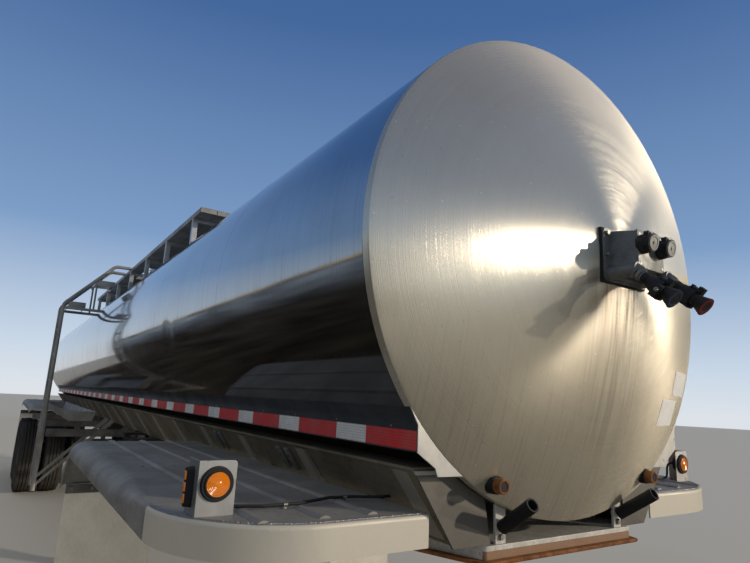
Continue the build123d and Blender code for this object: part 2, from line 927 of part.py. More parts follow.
# Rubber drain tubes point forward and up from the posts
tube_tilt = degrees(atan2(drain_tube_rise, drain_tube_run))
tube_plane = Plane(
    origin=(post_front_x + drain_tube_setback, front_post_y, tank_axis_z - drain_tube_drop),
    x_dir=(0, 1, 0),
    z_dir=(cos(radians(tube_tilt)), sin(radians(drain_tube_splay)), sin(radians(tube_tilt))),
)
with BuildPart() as drain_tubes:
    with BuildSketch(tube_plane):
        Circle(drain_tube_radius)
        Circle(drain_tube_bore_radius, mode=Mode.SUBTRACT)
    extrude(amount=drain_tube_length)
    split(bisect_by=Plane.YZ.offset(post_front_x), keep=Keep.TOP)
    mirror(about=Plane.XZ)
save(drain_tubes, "drain_tubes")


# Fenders: a flat deck with raised beads, a rounded outer shoulder and a deep lip
def fender_profile(inset, shoulder, mode=Mode.ADD):
    """Draw the fender's filled cross-section, inside a sketch on a plane across the trailer."""
    top = fender_deck_z - inset
    outer = fender_outer_y - inset
    radius = shoulder - inset
    bottom = fender_deck_z - fender_lip_height
    with BuildLine() as section:
        Line((fender_inner_y, top), (outer - radius, top))
        CenterArc((outer - radius, top - radius), radius, 0, 90)
        Polyline((outer, top - radius), (outer, bottom), (fender_inner_y, bottom), (fender_inner_y, top))
    make_face(section.edges(), mode=mode)


corner_x = fender_front_x - fender_corner_length
taper_x = corner_x - fender_taper_length
bend_axis_z = fender_deck_z - fender_bend_radius


def fender_corner(inset):
    """Solid of the fender's front corner, down to the lip's lower edge."""
    with BuildPart() as corner:
        with BuildSketch(Plane.XY.offset(fender_deck_z - fender_lip_height)):
            with BuildLine():
                radius = fender_corner_radius - inset
                front = fender_front_x - inset
                outer = fender_outer_y - inset
                Polyline((corner_x, fender_inner_y), (front, fender_inner_y), (front, outer - radius))
                CenterArc((front - radius, outer - radius), radius, 0, 90)
                Polyline((front - radius, outer), (corner_x, outer), (corner_x, fender_inner_y))
            make_face()
        extrude(amount=fender_lip_height - inset)
        rounded = corner.faces().sort_by(Axis.Z)[-1].edges().filter_by(
            lambda edge: edge.center().Y > fender_inner_y + 1 and edge.center().X > corner_x + 1
        )
        fillet(rounded, fender_edge_radius - inset)
    return corner.part


def fender_taper(inset):
    """Solid between the crisp front corner and the rounded side shoulder."""
    with BuildPart() as taper:
        with BuildSketch(Plane.YZ.offset(taper_x)):
            fender_profile(inset, fender_shoulder_radius)
        with BuildSketch(Plane.YZ.offset(corner_x)):
            fender_profile(inset, fender_edge_radius)
        loft()
    return taper.part


front_fender_outer_corner = fender_corner(0)
front_fender_inner_corner = fender_corner(fender_sheet)
front_fender_outer_taper = fender_taper(0)
front_fender_inner_taper = fender_taper(fender_sheet)


def draw_sheet_section():
    """Cross-section of the fender's sheet, with its beads, on a plane across the trailer."""
    fender_profile(0, fender_shoulder_radius)
    fender_profile(fender_sheet, fender_shoulder_radius, mode=Mode.SUBTRACT)
    draw_beads()


def draw_beads():
    """Low rounded beads on the deck, one for each row of the table."""
    for y in bead_ys:
        with BuildLine() as bead:
            RadiusArc(
                (y - bead_half_width, fender_deck_z),
                (y + bead_half_width, fender_deck_z),
                (bead_half_width**2 + bead_height**2) / (2 * bead_height),
            )
            Line((y + bead_half_width, fender_deck_z), (y - bead_half_width, fender_deck_z))
        make_face(bead.edges())


with BuildPart() as front_fenders:
    add(front_fender_outer_corner)
    add(front_fender_outer_taper)
    add(front_fender_inner_corner, mode=Mode.SUBTRACT)
    add(front_fender_inner_taper, mode=Mode.SUBTRACT)
    with BuildSketch(Plane.YZ.offset(taper_x)):
        draw_beads()
    extrude(amount=fender_front_x - bead_front_gap - taper_x)
    with BuildSketch(Plane.YZ.offset(front_fender_flat_end_x)):
        draw_sheet_section()
    extrude(amount=taper_x - front_fender_flat_end_x)
    with BuildSketch(Plane.YZ.offset(front_fender_flat_end_x)):
        draw_sheet_section()
    revolve(
        axis=Axis((front_fender_flat_end_x, 0, bend_axis_z), (0, 1, 0)),
        revolution_arc=-fender_bend_angle,
    )
    mirror(about=Plane.XZ)
save(front_fenders, "front_fenders")

rear_bend_axis_z = fender_deck_z - rear_fender_bend_radius
with BuildPart() as rear_fenders:
    with BuildSketch(Plane.YZ.offset(rear_fender_rear_x)):
        draw_sheet_section()
    extrude(amount=rear_fender_front_x - rear_fender_rear_x)
    for end_x, turn in ((rear_fender_front_x, 1), (rear_fender_rear_x, -1)):
        with BuildSketch(Plane.YZ.offset(end_x)):
            draw_sheet_section()
        revolve(
            axis=Axis((end_x, 0, rear_bend_axis_z), (0, 1, 0)),
            revolution_arc=turn * rear_fender_bend_angle,
        )
    mirror(about=Plane.XZ)
save(rear_fenders, "rear_fenders")

# Carriers under the fender decks from the frame's sides, with the bars for the mud flaps
bend_inner_radius = fender_bend_radius - fender_sheet
bend_end_x = front_fender_flat_end_x - bend_inner_radius * sin(radians(fender_bend_angle))
bend_end_z = bend_axis_z + bend_inner_radius * cos(radians(fender_bend_angle))
front_bar_x = bend_end_x + flap_bar_thickness / 2
front_bar_top_z = bend_end_z
front_step_z = tank_axis_z - front_flap_step_drop
carrier_top_z = fender_deck_z - fender_sheet
carrier_foot_z = carrier_top_z - carrier_height
with BuildPart() as fender_carriers:
    for carrier_x in carrier_xs:
        with BuildSketch(Plane.YZ.offset(carrier_x - carrier_width / 2)):
            with BuildLine():
                Polyline(
                    (frame_side_y(carrier_top_z), carrier_top_z),
                    (carrier_outer_y - carrier_tip_gap, carrier_top_z),
                    (carrier_outer_y - carrier_tip_gap, carrier_top_z - carrier_height / 2),
                    (frame_side_y(carrier_foot_z) + carrier_root, carrier_foot_z),
                    (frame_side_y(carrier_foot_z), carrier_foot_z),
                    close=True,
                )
            make_face()
        extrude(amount=carrier_width)
    with BuildSketch(Plane.YZ.offset(hanger_plate_x)):
        with BuildLine():
            Polyline(
                (hanger_plate_near_y, carrier_top_z),
                (hanger_plate_far_y, carrier_top_z),
                (hanger_plate_far_y, carrier_top_z - hanger_plate_height),
                (hanger_plate_near_y, carrier_top_z - hanger_plate_height),
                close=True,
            )
        make_face()
    extrude(amount=hanger_plate_thickness)
    plate_corners = fender_carriers.edges().filter_by(Axis.X).group_by(Axis.Z)[0]
    fillet(plate_corners, hanger_plate_corner)
    with Locations((front_bar_x, fender_inner_y, front_bar_top_z)):
        Box(
            flap_bar_thickness,
            fender_outer_y - fender_shoulder_radius - fender_inner_y,
            flap_bar_height,
            align=(Align.MAX, Align.MIN, Align.MAX),
        )
    with BuildSketch(Plane.YZ.offset(rear_flap_x + flap_thickness)):
        with BuildLine():
            Polyline(
                (foot_flange_y, frame_foot_z),
                (foot_flange_y, frame_foot_z - rear_flap_bar_root),
                (rear_flap_near_y, rear_flap_top_z - flap_bar_height),
                (rear_flap_far_y, rear_flap_top_z - flap_bar_height),
                (rear_flap_far_y, rear_flap_top_z),
                (rear_flap_near_y, rear_flap_top_z),
                (frame_foot_y, frame_foot_z),
                close=True,
            )
        make_face()
    extrude(amount=flap_bar_thickness)
    mirror(about=Plane.XZ)
save(fender_carriers, "fender_carriers")

# Lamp brackets: a plate facing forward with a flange turned back along the outer side
round_lamp_y = (lamp_bracket_near_y + lamp_bracket_far_y) / 2
round_lamp_z = fender_deck_z + round_lamp_rise
side_lamp_x = lamp_bracket_x - lamp_bracket_depth / 2
with BuildPart() as lamp_brackets:
    with BuildSketch(Plane.XY.offset(fender_deck_z)):
        with BuildLine():
            Polyline(
                (lamp_bracket_x, lamp_bracket_near_y),
                (lamp_bracket_x, lamp_bracket_far_y),
                (lamp_bracket_x - lamp_bracket_depth, lamp_bracket_far_y),
                (lamp_bracket_x - lamp_bracket_depth, lamp_bracket_far_y - lamp_bracket_sheet),
                (lamp_bracket_x - lamp_bracket_sheet, lamp_bracket_far_y - lamp_bracket_sheet),
                (lamp_bracket_x - lamp_bracket_sheet, lamp_bracket_near_y),
                close=True,
            )
        make_face()
    extrude(amount=lamp_bracket_height)
    with BuildSketch(Plane.YZ.offset(lamp_bracket_x)):
        with Locations((round_lamp_y, round_lamp_z)):
            Circle(round_lamp_radius)
    extrude(amount=-lamp_bracket_sheet, mode=Mode.SUBTRACT)
    fillet(
        lamp_brackets.edges().filter_by(Axis.X).group_by(Axis.Z)[-1].sort_by(Axis.Y)[0], lamp_bracket_corner
    )
    mirror(about=Plane.XZ)
save(lamp_brackets, "lamp_brackets")

# Amber lamps: round and slotted ones on the brackets, small round ones on the front head
with BuildPart() as amber_lamps:
    with BuildSketch(Plane.YZ.offset(lamp_bracket_x)):
        with Locations((round_lamp_y, round_lamp_z)):
            Circle(round_lamp_grommet_radius)
    extrude(amount=round_lamp_grommet_thickness, taper=round_lamp_grommet_taper)
    with BuildSketch(Plane.YZ.offset(lamp_bracket_x - round_lamp_depth)):
        with Locations((round_lamp_y, round_lamp_z)):
            Circle(round_lamp_radius - pin_fit)
    extrude(amount=round_lamp_depth + round_lamp_lens_rise)
    with BuildSketch(Plane.XZ.offset(-lamp_bracket_far_y)):
        with Locations((side_lamp_x, fender_deck_z + lamp_bracket_height / 2)):
            SlotOverall(side_lamp_length, side_lamp_width, rotation=90)
    extrude(amount=-side_lamp_depth, taper=side_lamp_taper)
    with BuildSketch(Plane.YZ.offset(tank_front_x - head_lamp_root)):
        with Locations((head_lamp_y, tank_axis_z - head_lamp_drop)):
            Circle(head_lamp_base_radius)
    extrude(amount=head_lamp_root + head_lamp_base_reach)
    with BuildSketch(Plane.YZ.offset(tank_front_x + head_lamp_base_reach)):
        with Locations((head_lamp_y, tank_axis_z - head_lamp_drop)):
            Circle(head_lamp_radius)
    extrude(amount=head_lamp_reach - head_lamp_base_reach)
    add(front_head.part, mode=Mode.SUBTRACT)
    mirror(about=Plane.XZ)
save(amber_lamps, "amber_lamps")

# Mud flaps hang from the bars; the front ones are stepped at their inner side
with BuildPart() as mud_flaps:
    with BuildSketch(Plane.YZ.offset(front_bar_x)):
        with BuildLine():
            Polyline(
                (front_flap_step_y, front_bar_top_z - front_flap_drop),
                (front_flap_far_y, front_bar_top_z - front_flap_drop),
                (front_flap_far_y, front_flap_bottom_z),
                (front_flap_near_y, front_flap_bottom_z),
                (front_flap_near_y, front_step_z),
                (front_flap_step_y, front_step_z),
                close=True,
            )
        make_face()
    extrude(amount=flap_thickness)
    with BuildSketch(Plane.YZ.offset(rear_flap_x)):
        with BuildLine():
            Polyline(
                (rear_flap_near_y, rear_flap_top_z),
                (rear_flap_far_y, rear_flap_top_z),
                (rear_flap_far_y, rear_flap_bottom_z),
                (rear_flap_near_y, rear_flap_bottom_z),
                close=True,
            )
        make_face()
    extrude(amount=flap_thickness)
    mirror(about=Plane.XZ)
save(mud_flaps, "mud_flaps")

# Nose box: gasket, base plate and a tapered housing on the crown of the front head
nose_plate_x = tank_front_x + nose_plate_front
nose_box_x = tank_front_x + nose_box_front
nose_centre_z = tank_axis_z + (nose_plate_top - nose_plate_bottom) / 2
nose_plate_height = nose_plate_top + nose_plate_bottom
with BuildPart() as nose_box:
    with BuildSketch(Plane.YZ.offset(tank_front_x + head_depth - nose_root_depth)):
        with Locations((0, nose_centre_z)):
            RectangleRounded(2 * nose_plate_half_width, nose_plate_height, nose_plate_corner)
    extrude(amount=nose_plate_front - head_depth + nose_root_depth)
    with BuildSketch(Plane.YZ.offset(nose_plate_x)):
        with Locations((0, tank_axis_z + (nose_box_root_top - nose_box_root_bottom) / 2)):
            Rectangle(2 * nose_box_root_half_width, nose_box_root_top + nose_box_root_bottom)
    with BuildSketch(Plane.YZ.offset(nose_box_x)):
        with Locations((0, tank_axis_z + (nose_box_front_top - nose_box_front_bottom) / 2)):
            Rectangle(2 * nose_box_front_half_width, nose_box_front_top + nose_box_front_bottom)
    loft()
    fillet(nose_box.faces().sort_by(Axis.X)[-1].edges(), nose_box_edge_radius)
    for side in (-1, 1):
        with BuildSketch(Plane.YZ.offset(nose_plate_x)):
            with Locations((side * coupling_y, tank_axis_z - coupling_start_drop + coupling_socket_rise)):
                Circle(coupling_socket_radius)
        extrude(amount=coupling_start_x - nose_plate_front)
        socket_plane = Plane(
            origin=(tank_front_x + coupling_start_x, side * coupling_y, tank_axis_z - coupling_start_drop),
            x_dir=(0, 1, 0),
            z_dir=(cos(radians(coupling_slope)), 0, -sin(radians(coupling_slope))),
        )
        with BuildSketch(socket_plane.offset(-coupling_socket_length)):
            Circle(coupling_socket_radius)
        extrude(amount=coupling_socket_length)
    add(front_head.part, mode=Mode.SUBTRACT)
save(nose_box, "nose_box")

# Receptacles with spring lids on the nose box's front
with BuildPart() as receptacles:
    with BuildSketch(Plane.YZ.offset(nose_box_x)):
        with Locations((receptacle_y, tank_axis_z + receptacle_rise)):
            RegularPolygon(receptacle_collar_radius, 8, rotation=22.5)
    extrude(amount=receptacle_length)
    lid_plane = Plane(
        origin=(
            nose_box_x + receptacle_length - receptacle_lid_sink,
            receptacle_y,
            tank_axis_z + receptacle_rise,
        ),
        x_dir=(0, 1, 0),
        z_dir=(cos(radians(receptacle_tilt)), 0, -sin(radians(receptacle_tilt))),
    )
    with BuildSketch(lid_plane):
        Circle(receptacle_lid_radius)
    extrude(amount=receptacle_lid_thickness)
    mirror(about=Plane.XZ)
save(receptacles, "receptacles")

# Air couplings: each slopes forward and down from a cast socket and ends in a flared cup
coupling_angle = radians(coupling_slope)
coupling_plane = Plane(
    origin=(tank_front_x + coupling_start_x, coupling_y, tank_axis_z - coupling_start_drop),
    x_dir=(0, 1, 0),
    z_dir=(cos(coupling_angle), 0, -sin(coupling_angle)),
)
with BuildPart() as air_couplings:
    for step_from, step_to, step_radius in coupling_steps:
        with BuildSketch(coupling_plane.offset(step_from)):
            Circle(step_radius)
        extrude(amount=step_to - step_from)
    with BuildSketch(coupling_plane.offset(coupling_cup_start)):
        Circle(coupling_cup_root_radius)
    with BuildSketch(coupling_plane.offset(coupling_cup_end)):
        Circle(coupling_cup_radius)
    loft()
    with BuildSketch(coupling_plane.offset(coupling_cup_start - coupling_lug_size)):
        with Locations((0, coupling_lug_reach / 2)):
            Rectangle(coupling_lug_size, coupling_lug_reach)
    extrude(amount=coupling_lug_size)
    add(nose_box.part, mode=Mode.SUBTRACT)
    mirror(about=Plane.XZ)
save(air_couplings, "air_couplings")

# Lamp leads run from the round lamps along the deck, over its beads, to the frame's side
lead_z = fender_deck_z + bead_height + lead_radius
lamp_back_x = lamp_bracket_x - round_lamp_depth
with BuildPart() as lamp_leads:
    with BuildLine():
        FilletPolyline(
            (lamp_back_x, round_lamp_y, round_lamp_z),
            (lead_route[0][0], round_lamp_y, round_lamp_z),
            (*lead_route[0], lead_z),
            *[(x, y, lead_z) for x, y in lead_route[1:]],
            (lead_route[-1][0], frame_side_y(lead_z), lead_z),
            radius=lead_bend_radius,
        )
    with BuildSketch(Plane.YZ.offset(lamp_back_x)):
        with Locations((round_lamp_y, round_lamp_z)):
            Circle(lead_radius)
    sweep()
    mirror(about=Plane.XZ)
    add(frame_sides.part, mode=Mode.SUBTRACT)
save(lamp_leads, "lamp_leads")

# Walkway planks; those beside the manhole stop short of it
walkway_bottom_z = walkway_top_z - walkway_thickness
walkway_manhole_y = -manhole_rim_radius - walkway_manhole_side_clearance
walkway_post_foot_z = tank_axis_z + walkway_post_foot_rise
with BuildPart() as walkway_planks:
    for index in range(plank_count):
        near_y = -walkway_outer_y + index * plank_width
        plank_y = near_y + (plank_width - plank_gap) / 2
        passes = near_y + plank_width < walkway_manhole_y
        spans = (
            ((walkway_rear_x, walkway_front_x),)
            if passes
            else (
                (walkway_rear_x, manhole_x - walkway_manhole_clearance),
                (manhole_x + walkway_manhole_clearance, walkway_front_x),
            )
        )
        for span_rear_x, span_front_x in spans:
            with Locations(((span_rear_x + span_front_x) / 2, plank_y, walkway_bottom_z)):
                Box(
                    span_front_x - span_rear_x,
                    plank_width - plank_gap,
                    walkway_thickness,
                    align=(Align.CENTER, Align.CENTER, Align.MIN),
                )
save(walkway_planks, "walkway_planks")

# Walkway posts and cross bars, seated on the tank
with BuildPart() as walkway_posts:
    for index in range(walkway_post_count):
        post_x = walkway_front_x - walkway_post_end_gap - index * walkway_post_pitch
        inner_y = plank_count * plank_width - plank_gap - walkway_outer_y
        if abs(post_x - manhole_x) < -walkway_manhole_y:
            inner_y = walkway_manhole_y
        with BuildSketch(Plane.YZ.offset(post_x - walkway_post_width / 2)):
            with BuildLine():
                Polyline(
                    (-walkway_outer_y, walkway_bottom_z),
                    (-walkway_outer_y, walkway_post_foot_z),
                    (-walkway_outer_y + walkway_post_width, walkway_post_foot_z),
                    (-walkway_outer_y + walkway_post_width, walkway_bottom_z - walkway_bar_height),
                    (inner_y, walkway_bottom_z - walkway_bar_height),
                    (inner_y, walkway_bottom_z),
                    close=True,
                )
            make_face()
            with Locations((0, tank_axis_z)):
                Circle(tank_radius, mode=Mode.SUBTRACT)
        extrude(amount=walkway_post_width)
save(walkway_posts, "walkway_posts")

# Ladder: two bent tubes with rungs, two treads and stays to the tank and frame
ladder_xs = (ladder_rear_x, ladder_rear_x + ladder_width)
ladder_middle_x = ladder_rear_x + ladder_width / 2
ladder_bend_dy = ladder_rail_y - ladder_top_y
ladder_top_z = ladder_bend_z + ladder_bend_dy + ladder_top_rise
ladder_stay_top_z = lower_tread_z - tread_lip
ladder_post_y = -upper_tread_outer_y + 2 * ladder_post_radius
ladder_stay_heel_z = ladder_foot_z + ladder_foot_stay_rise
ladder_foot_stay_head_z = frame_foot_z + ladder_foot_stay_rise
ladder_foot_stay_heel_z = ladder_foot_stay_head_z - ladder_foot_stay_height
rail_route = (
    (-ladder_rail_y, ladder_foot_z),
    (-ladder_rail_y, ladder_bend_z),
    (-ladder_top_y, ladder_top_z),
    (-walkway_outer_y - ladder_top_clearance, ladder_top_z),
)
with BuildPart() as ladder_rails:
    for rail_x in ladder_xs:
        with BuildLine(Plane.YZ.offset(rail_x)):
            FilletPolyline(*rail_route, radius=ladder_bend_radius)
        with BuildSketch(Plane.XY.offset(ladder_foot_z)):
            with Locations((rail_x, -ladder_rail_y)):
                Circle(ladder_rail_radius)
        sweep()
        with BuildSketch(Plane.XY.offset(ladder_foot_z)):
            with Locations((rail_x, -ladder_rail_y)):
                Circle(ladder_sleeve_radius)
        extrude(amount=ladder_sleeve_top_z - ladder_foot_z)
    for index in range(ladder_rung_count):
        rung_z = ladder_rung_first_z + index * ladder_rung_pitch
        with BuildSketch(Plane.YZ.offset(ladder_rear_x)):
            with Locations((-ladder_rail_y, rung_z)):
                Circle(ladder_rung_radius)
        extrude(amount=ladder_width)
    for rail_x in ladder_xs:
        with BuildSketch(Plane.YZ.offset(rail_x - ladder_stay_radius)):
            with BuildLine():
                Polyline(
                    (-ladder_rail_y, ladder_stay_top_z),
                    (-ladder_rail_y, ladder_stay_top_z - 2 * ladder_stay_radius),
                    (0, ladder_stay_top_z - 2 * ladder_stay_radius),
                    (0, ladder_stay_top_z),
                    close=True,
                )
            make_face()
            with Locations((0, tank_axis_z)):
                Circle(tank_radius, mode=Mode.SUBTRACT)
        extrude(amount=2 * ladder_stay_radius)
        with BuildSketch(Plane.YZ.offset(rail_x - ladder_stay_radius)):
            with BuildLine():
                Polyline(
                    (-ladder_rail_y + ladder_foot_stay_lap, ladder_stay_heel_z),
                    (-ladder_rail_y + ladder_foot_stay_lap, ladder_stay_heel_z + ladder_foot_stay_height),
                    (-frame_side_y(ladder_foot_stay_head_z), ladder_foot_stay_head_z),
                    (-frame_side_y(ladder_foot_stay_heel_z), ladder_foot_stay_heel_z),
                    close=True,
                )
            make_face()
        extrude(amount=2 * ladder_stay_radius)
        with BuildSketch(Plane.XY.offset(ladder_stay_top_z)):
            with Locations((rail_x + (ladder_middle_x - rail_x) / 8, ladder_post_y)):
                Circle(ladder_post_radius)
        extrude(amount=upper_tread_z - tread_sheet - ladder_stay_top_z)
save(ladder_rails, "ladder_rails")

treads = (
    (lower_tread_z, lower_tread_outer_y, lower_tread_inner_y),
    (upper_tread_z, upper_tread_outer_y, upper_tread_inner_y),
)
with BuildPart() as ladder_treads:
    for tread_z, outer_y, inner_y in treads:
        with BuildSketch(Plane.YZ.offset(ladder_rear_x)):
            with BuildLine():
                Polyline(
                    (-outer_y, tread_z),
                    (-inner_y, tread_z),
                    (-inner_y, tread_z - tread_lip),
                    (-inner_y - tread_sheet, tread_z - tread_lip),
                    (-inner_y - tread_sheet, tread_z - tread_sheet),
                    (-outer_y + tread_sheet, tread_z - tread_sheet),
                    (-outer_y + tread_sheet, tread_z - tread_lip),
                    (-outer_y, tread_z - tread_lip),
                    close=True,
                )
            make_face()
        extrude(amount=ladder_width)
    add(ladder_rails.part, mode=Mode.SUBTRACT)
save(ladder_treads, "ladder_treads")

# Hose trays: open troughs on short posts over the outriggers
tray_top_z = tank_axis_z - tray_top_drop
tray_bottom_z = tank_axis_z - tray_bottom_drop
with BuildPart() as hose_trays:
    with BuildSketch(Plane.YZ.offset(tray_rear_x)):
        with BuildLine():
            Polyline(
                (tray_top_outer_y, tray_top_z),
                (tray_bottom_outer_y, tray_bottom_z),
                (tray_bottom_inner_y, tray_bottom_z),
                (tray_top_inner_y, tray_top_z),
                (tray_top_inner_y + tray_sheet, tray_top_z),
                (tray_bottom_inner_y + tray_sheet, tray_bottom_z + tray_sheet),
                (tray_bottom_outer_y - tray_sheet, tray_bottom_z + tray_sheet),
                (tray_top_outer_y - tray_sheet, tray_top_z),
                close=True,
            )
        make_face()
    extrude(amount=tray_front_x - tray_rear_x)
    for end_x, inward in ((tray_rear_x, tray_sheet), (tray_front_x, -tray_sheet)):
        with BuildSketch(Plane.YZ.offset(end_x)):
            with BuildLine():
                Polyline(
                    (tray_top_outer_y, tray_top_z),
                    (tray_bottom_outer_y, tray_bottom_z),
                    (tray_bottom_inner_y, tray_bottom_z),
                    (tray_top_inner_y, tray_top_z),
                    close=True,
                )
            make_face()
        extrude(amount=inward)
    mirror(about=Plane.XZ)
save(hose_trays, "hose_trays")

outrigger_top_z = tank_axis_z - outrigger_top_drop
tray_middle_y = (tray_bottom_outer_y + tray_bottom_inner_y) / 2
with BuildPart() as outriggers:
    for outrigger_x in outrigger_xs:
        with BuildSketch(Plane.YZ.offset(outrigger_x - outrigger_width / 2)):
            with BuildLine():
                Polyline(
                    (foot_flange_y, frame_foot_z),
                    (frame_foot_y, frame_foot_z),
                    (frame_foot_y + outrigger_root, outrigger_top_z),
                    (outrigger_outer_y, outrigger_top_z),
                    (outrigger_outer_y, outrigger_top_z - outrigger_height),
                    (foot_flange_y, outrigger_top_z - outrigger_height),
                    close=True,
                )
            make_face()
            with Locations((tray_middle_y, (tray_bottom_z + outrigger_top_z) / 2)):
                Rectangle(tray_post_width, tray_bottom_z - outrigger_top_z)
        extrude(amount=outrigger_width)
    mirror(about=Plane.XZ)
save(outriggers, "outriggers")

# Landing gear: cross beam, two telescopic legs, shoes, shaft, gearbox and crank
beam_bottom_z = frame_foot_z - landing_beam_height
with BuildPart() as landing_beam:
    with Locations((landing_x, 0, beam_bottom_z)):
        Box(
            landing_beam_width,
            2 * landing_beam_half_length,
            landing_beam_height,
            align=(Align.CENTER, Align.CENTER, Align.MIN),
        )
    fillet(landing_beam.edges().filter_by(Axis.Y), landing_beam_edge_radius)
save(landing_beam, "landing_beam")

shaft_inner_y = landing_y - landing_outer_tube / 2
with BuildPart() as landing_legs:
    for side in (-1, 1):
        with Locations((landing_x, side * landing_y, landing_outer_bottom_z)):
            Box(
                landing_outer_tube,
                landing_outer_tube,
                beam_bottom_z - landing_outer_bottom_z,
                align=(Align.CENTER, Align.CENTER, Align.MIN),
            )
        with Locations((landing_x, side * landing_y, landing_ankle_z)):
            Box(
                landing_inner_tube,
                landing_inner_tube,
                landing_outer_bottom_z - landing_ankle_z,
                align=(Align.CENTER, Align.CENTER, Align.MIN),
            )
        with Locations((landing_x, side * landing_y, 0)):
            Box(
                landing_shoe_size,
                landing_shoe_size,
                landing_shoe_thickness,
                align=(Align.CENTER, Align.CENTER, Align.MIN),
            )
        with Locations((landing_x, side * landing_y, landing_shoe_thickness)):
            Box(
                landing_inner_tube,
                landing_ankle_width,
                landing_ankle_z - landing_shoe_thickness,
                align=(Align.CENTER, Align.CENTER, Align.MIN),
            )
save(landing_legs, "landing_legs")

gearbox_outer_y = landing_y + landing_outer_tube / 2 + landing_gearbox_depth
crank_y = -gearbox_outer_y - crank_shaft_length
with BuildPart() as landing_drive:
    with BuildSketch(Plane.XZ.offset(-shaft_inner_y)):
        with Locations((landing_x, landing_shaft_z)):
            Circle(landing_shaft_radius)
    extrude(amount=2 * shaft_inner_y)
    with Locations((landing_x, -landing_y - landing_outer_tube / 2, landing_shaft_z)):
        Box(
            landing_gearbox_size,
            landing_gearbox_depth,
            landing_gearbox_height,
            align=(Align.CENTER, Align.MAX, Align.CENTER),
        )
    with BuildSketch(Plane.XZ.offset(gearbox_outer_y)):
        with Locations((landing_x, landing_shaft_z)):
            Circle(landing_shaft_radius)
    extrude(amount=crank_shaft_length)
    with Locations((landing_x, crank_y + crank_arm_thickness / 2, landing_shaft_z)):
        Box(
            crank_arm_width,
            crank_arm_thickness,
            crank_arm_length,
            align=(Align.CENTER, Align.CENTER, Align.MAX),
        )
    with BuildSketch(Plane.XZ.offset(-crank_y - crank_arm_thickness)):
        with Locations((landing_x, landing_shaft_z - crank_arm_length + crank_arm_width / 2)):
            Circle(crank_grip_radius)
    extrude(amount=crank_grip_length)
save(landing_drive, "landing_drive")

brace_foot_z = landing_outer_bottom_z + landing_brace_rise
brace_head_z = frame_foot_z - landing_cross_thickness
with BuildPart() as landing_braces:
    with BuildSketch(Plane.XZ.offset(-landing_y - landing_brace_width / 2)):
        with BuildLine():
            Polyline(
                (landing_x - landing_outer_tube / 2, brace_foot_z),
                (landing_x - landing_outer_tube / 2, brace_foot_z + landing_brace_foot),
                (landing_x - landing_brace_run + landing_cross_width / 2, brace_head_z),
                (landing_x - landing_brace_run - landing_cross_thickness, brace_head_z),
                close=True,
            )
        make_face()
    extrude(amount=landing_brace_width)
    with Locations((landing_x - landing_brace_run + landing_cross_thickness, 0, brace_head_z)):
        Box(
            landing_cross_width,
            2 * landing_y + landing_brace_width,
            landing_cross_thickness,
            align=(Align.CENTER, Align.CENTER, Align.MIN),
        )
    mirror(about=Plane.XZ)
save(landing_braces, "landing_braces")

# Axles: a round beam with spindles, backing plates, brake blocks and air chambers
hub_face_y = wheel_disc_y - wheel_disc_thickness
backing_plate_y = drum_inner_y - backing_plate_gap - backing_plate_thickness
axle_profile = (
    (0, axle_tube_radius),
    (axle_shoulder_y - axle_taper_length, axle_tube_radius),
    (axle_shoulder_y, spindle_radius),
    (spindle_end_y, spindle_radius),
)
with BuildPart() as axles:
    for axle_x in axle_xs:
        with BuildSketch(Plane.XY.offset(wheel_axle_z)):
            with BuildLine():
                Polyline(
                    (axle_x, 0),
                    *[(axle_x + radius, y) for y, radius in axle_profile],
                    (axle_x, spindle_end_y),
                    close=True,
                )
            make_face()
        revolve(axis=Axis((axle_x, 0, wheel_axle_z), (0, 1, 0)))
        with BuildSketch(Plane.XZ.offset(-backing_plate_y)):
            with Locations((axle_x, wheel_axle_z)):
                Circle(backing_plate_radius)
        extrude(amount=-backing_plate_thickness)
        with BuildSketch(Plane.XZ.offset(-backing_plate_y)):
            with Locations((axle_x, wheel_axle_z)):
                Circle(brake_block_radius)
        extrude(amount=-(hub_face_y - brake_block_gap - drum_wall - backing_plate_y))
        with BuildSketch(Plane.XZ.offset(-backing_plate_y)):
            with Locations((axle_x, wheel_axle_z)):
                Circle(hub_radius + brake_block_gap)
        extrude(amount=-spindle_end_y, mode=Mode.SUBTRACT)
        with BuildSketch(Plane.XY.offset(wheel_axle_z)):
            with BuildLine():
                Polyline(
                    (axle_x, backing_plate_y - backing_plate_thickness),
                    (axle_x + axle_tube_radius, backing_plate_y - backing_plate_thickness),
                    (axle_x + hub_radius + brake_block_gap, backing_plate_y),
                    (axle_x + hub_radius + brake_block_gap, backing_plate_y + backing_plate_thickness),
                    (axle_x + spindle_radius, backing_plate_y + backing_plate_thickness),
                    (axle_x + spindle_radius, spindle_end_y),
                    (axle_x, spindle_end_y),
                    close=True,
                )
            make_face()
        revolve(axis=Axis((axle_x, 0, wheel_axle_z), (0, 1, 0)))
        chamber_x = axle_x + axle_tube_radius + brake_chamber_radius + brake_chamber_gap
        with BuildSketch(Plane.XZ.offset(-brake_chamber_y)):
            with Locations((chamber_x, wheel_axle_z + brake_chamber_rise)):
                Circle(brake_chamber_radius)
        extrude(amount=brake_chamber_length)
        bracket_x = axle_x + axle_tube_radius + brake_bracket_offset
        with Locations((bracket_x, brake_chamber_y - brake_bracket_setback, wheel_axle_z)):
            Box(brake_bracket_length, brake_bracket_thickness, brake_bracket_height)
    mirror(about=Plane.XZ)
save(axles, "axles")

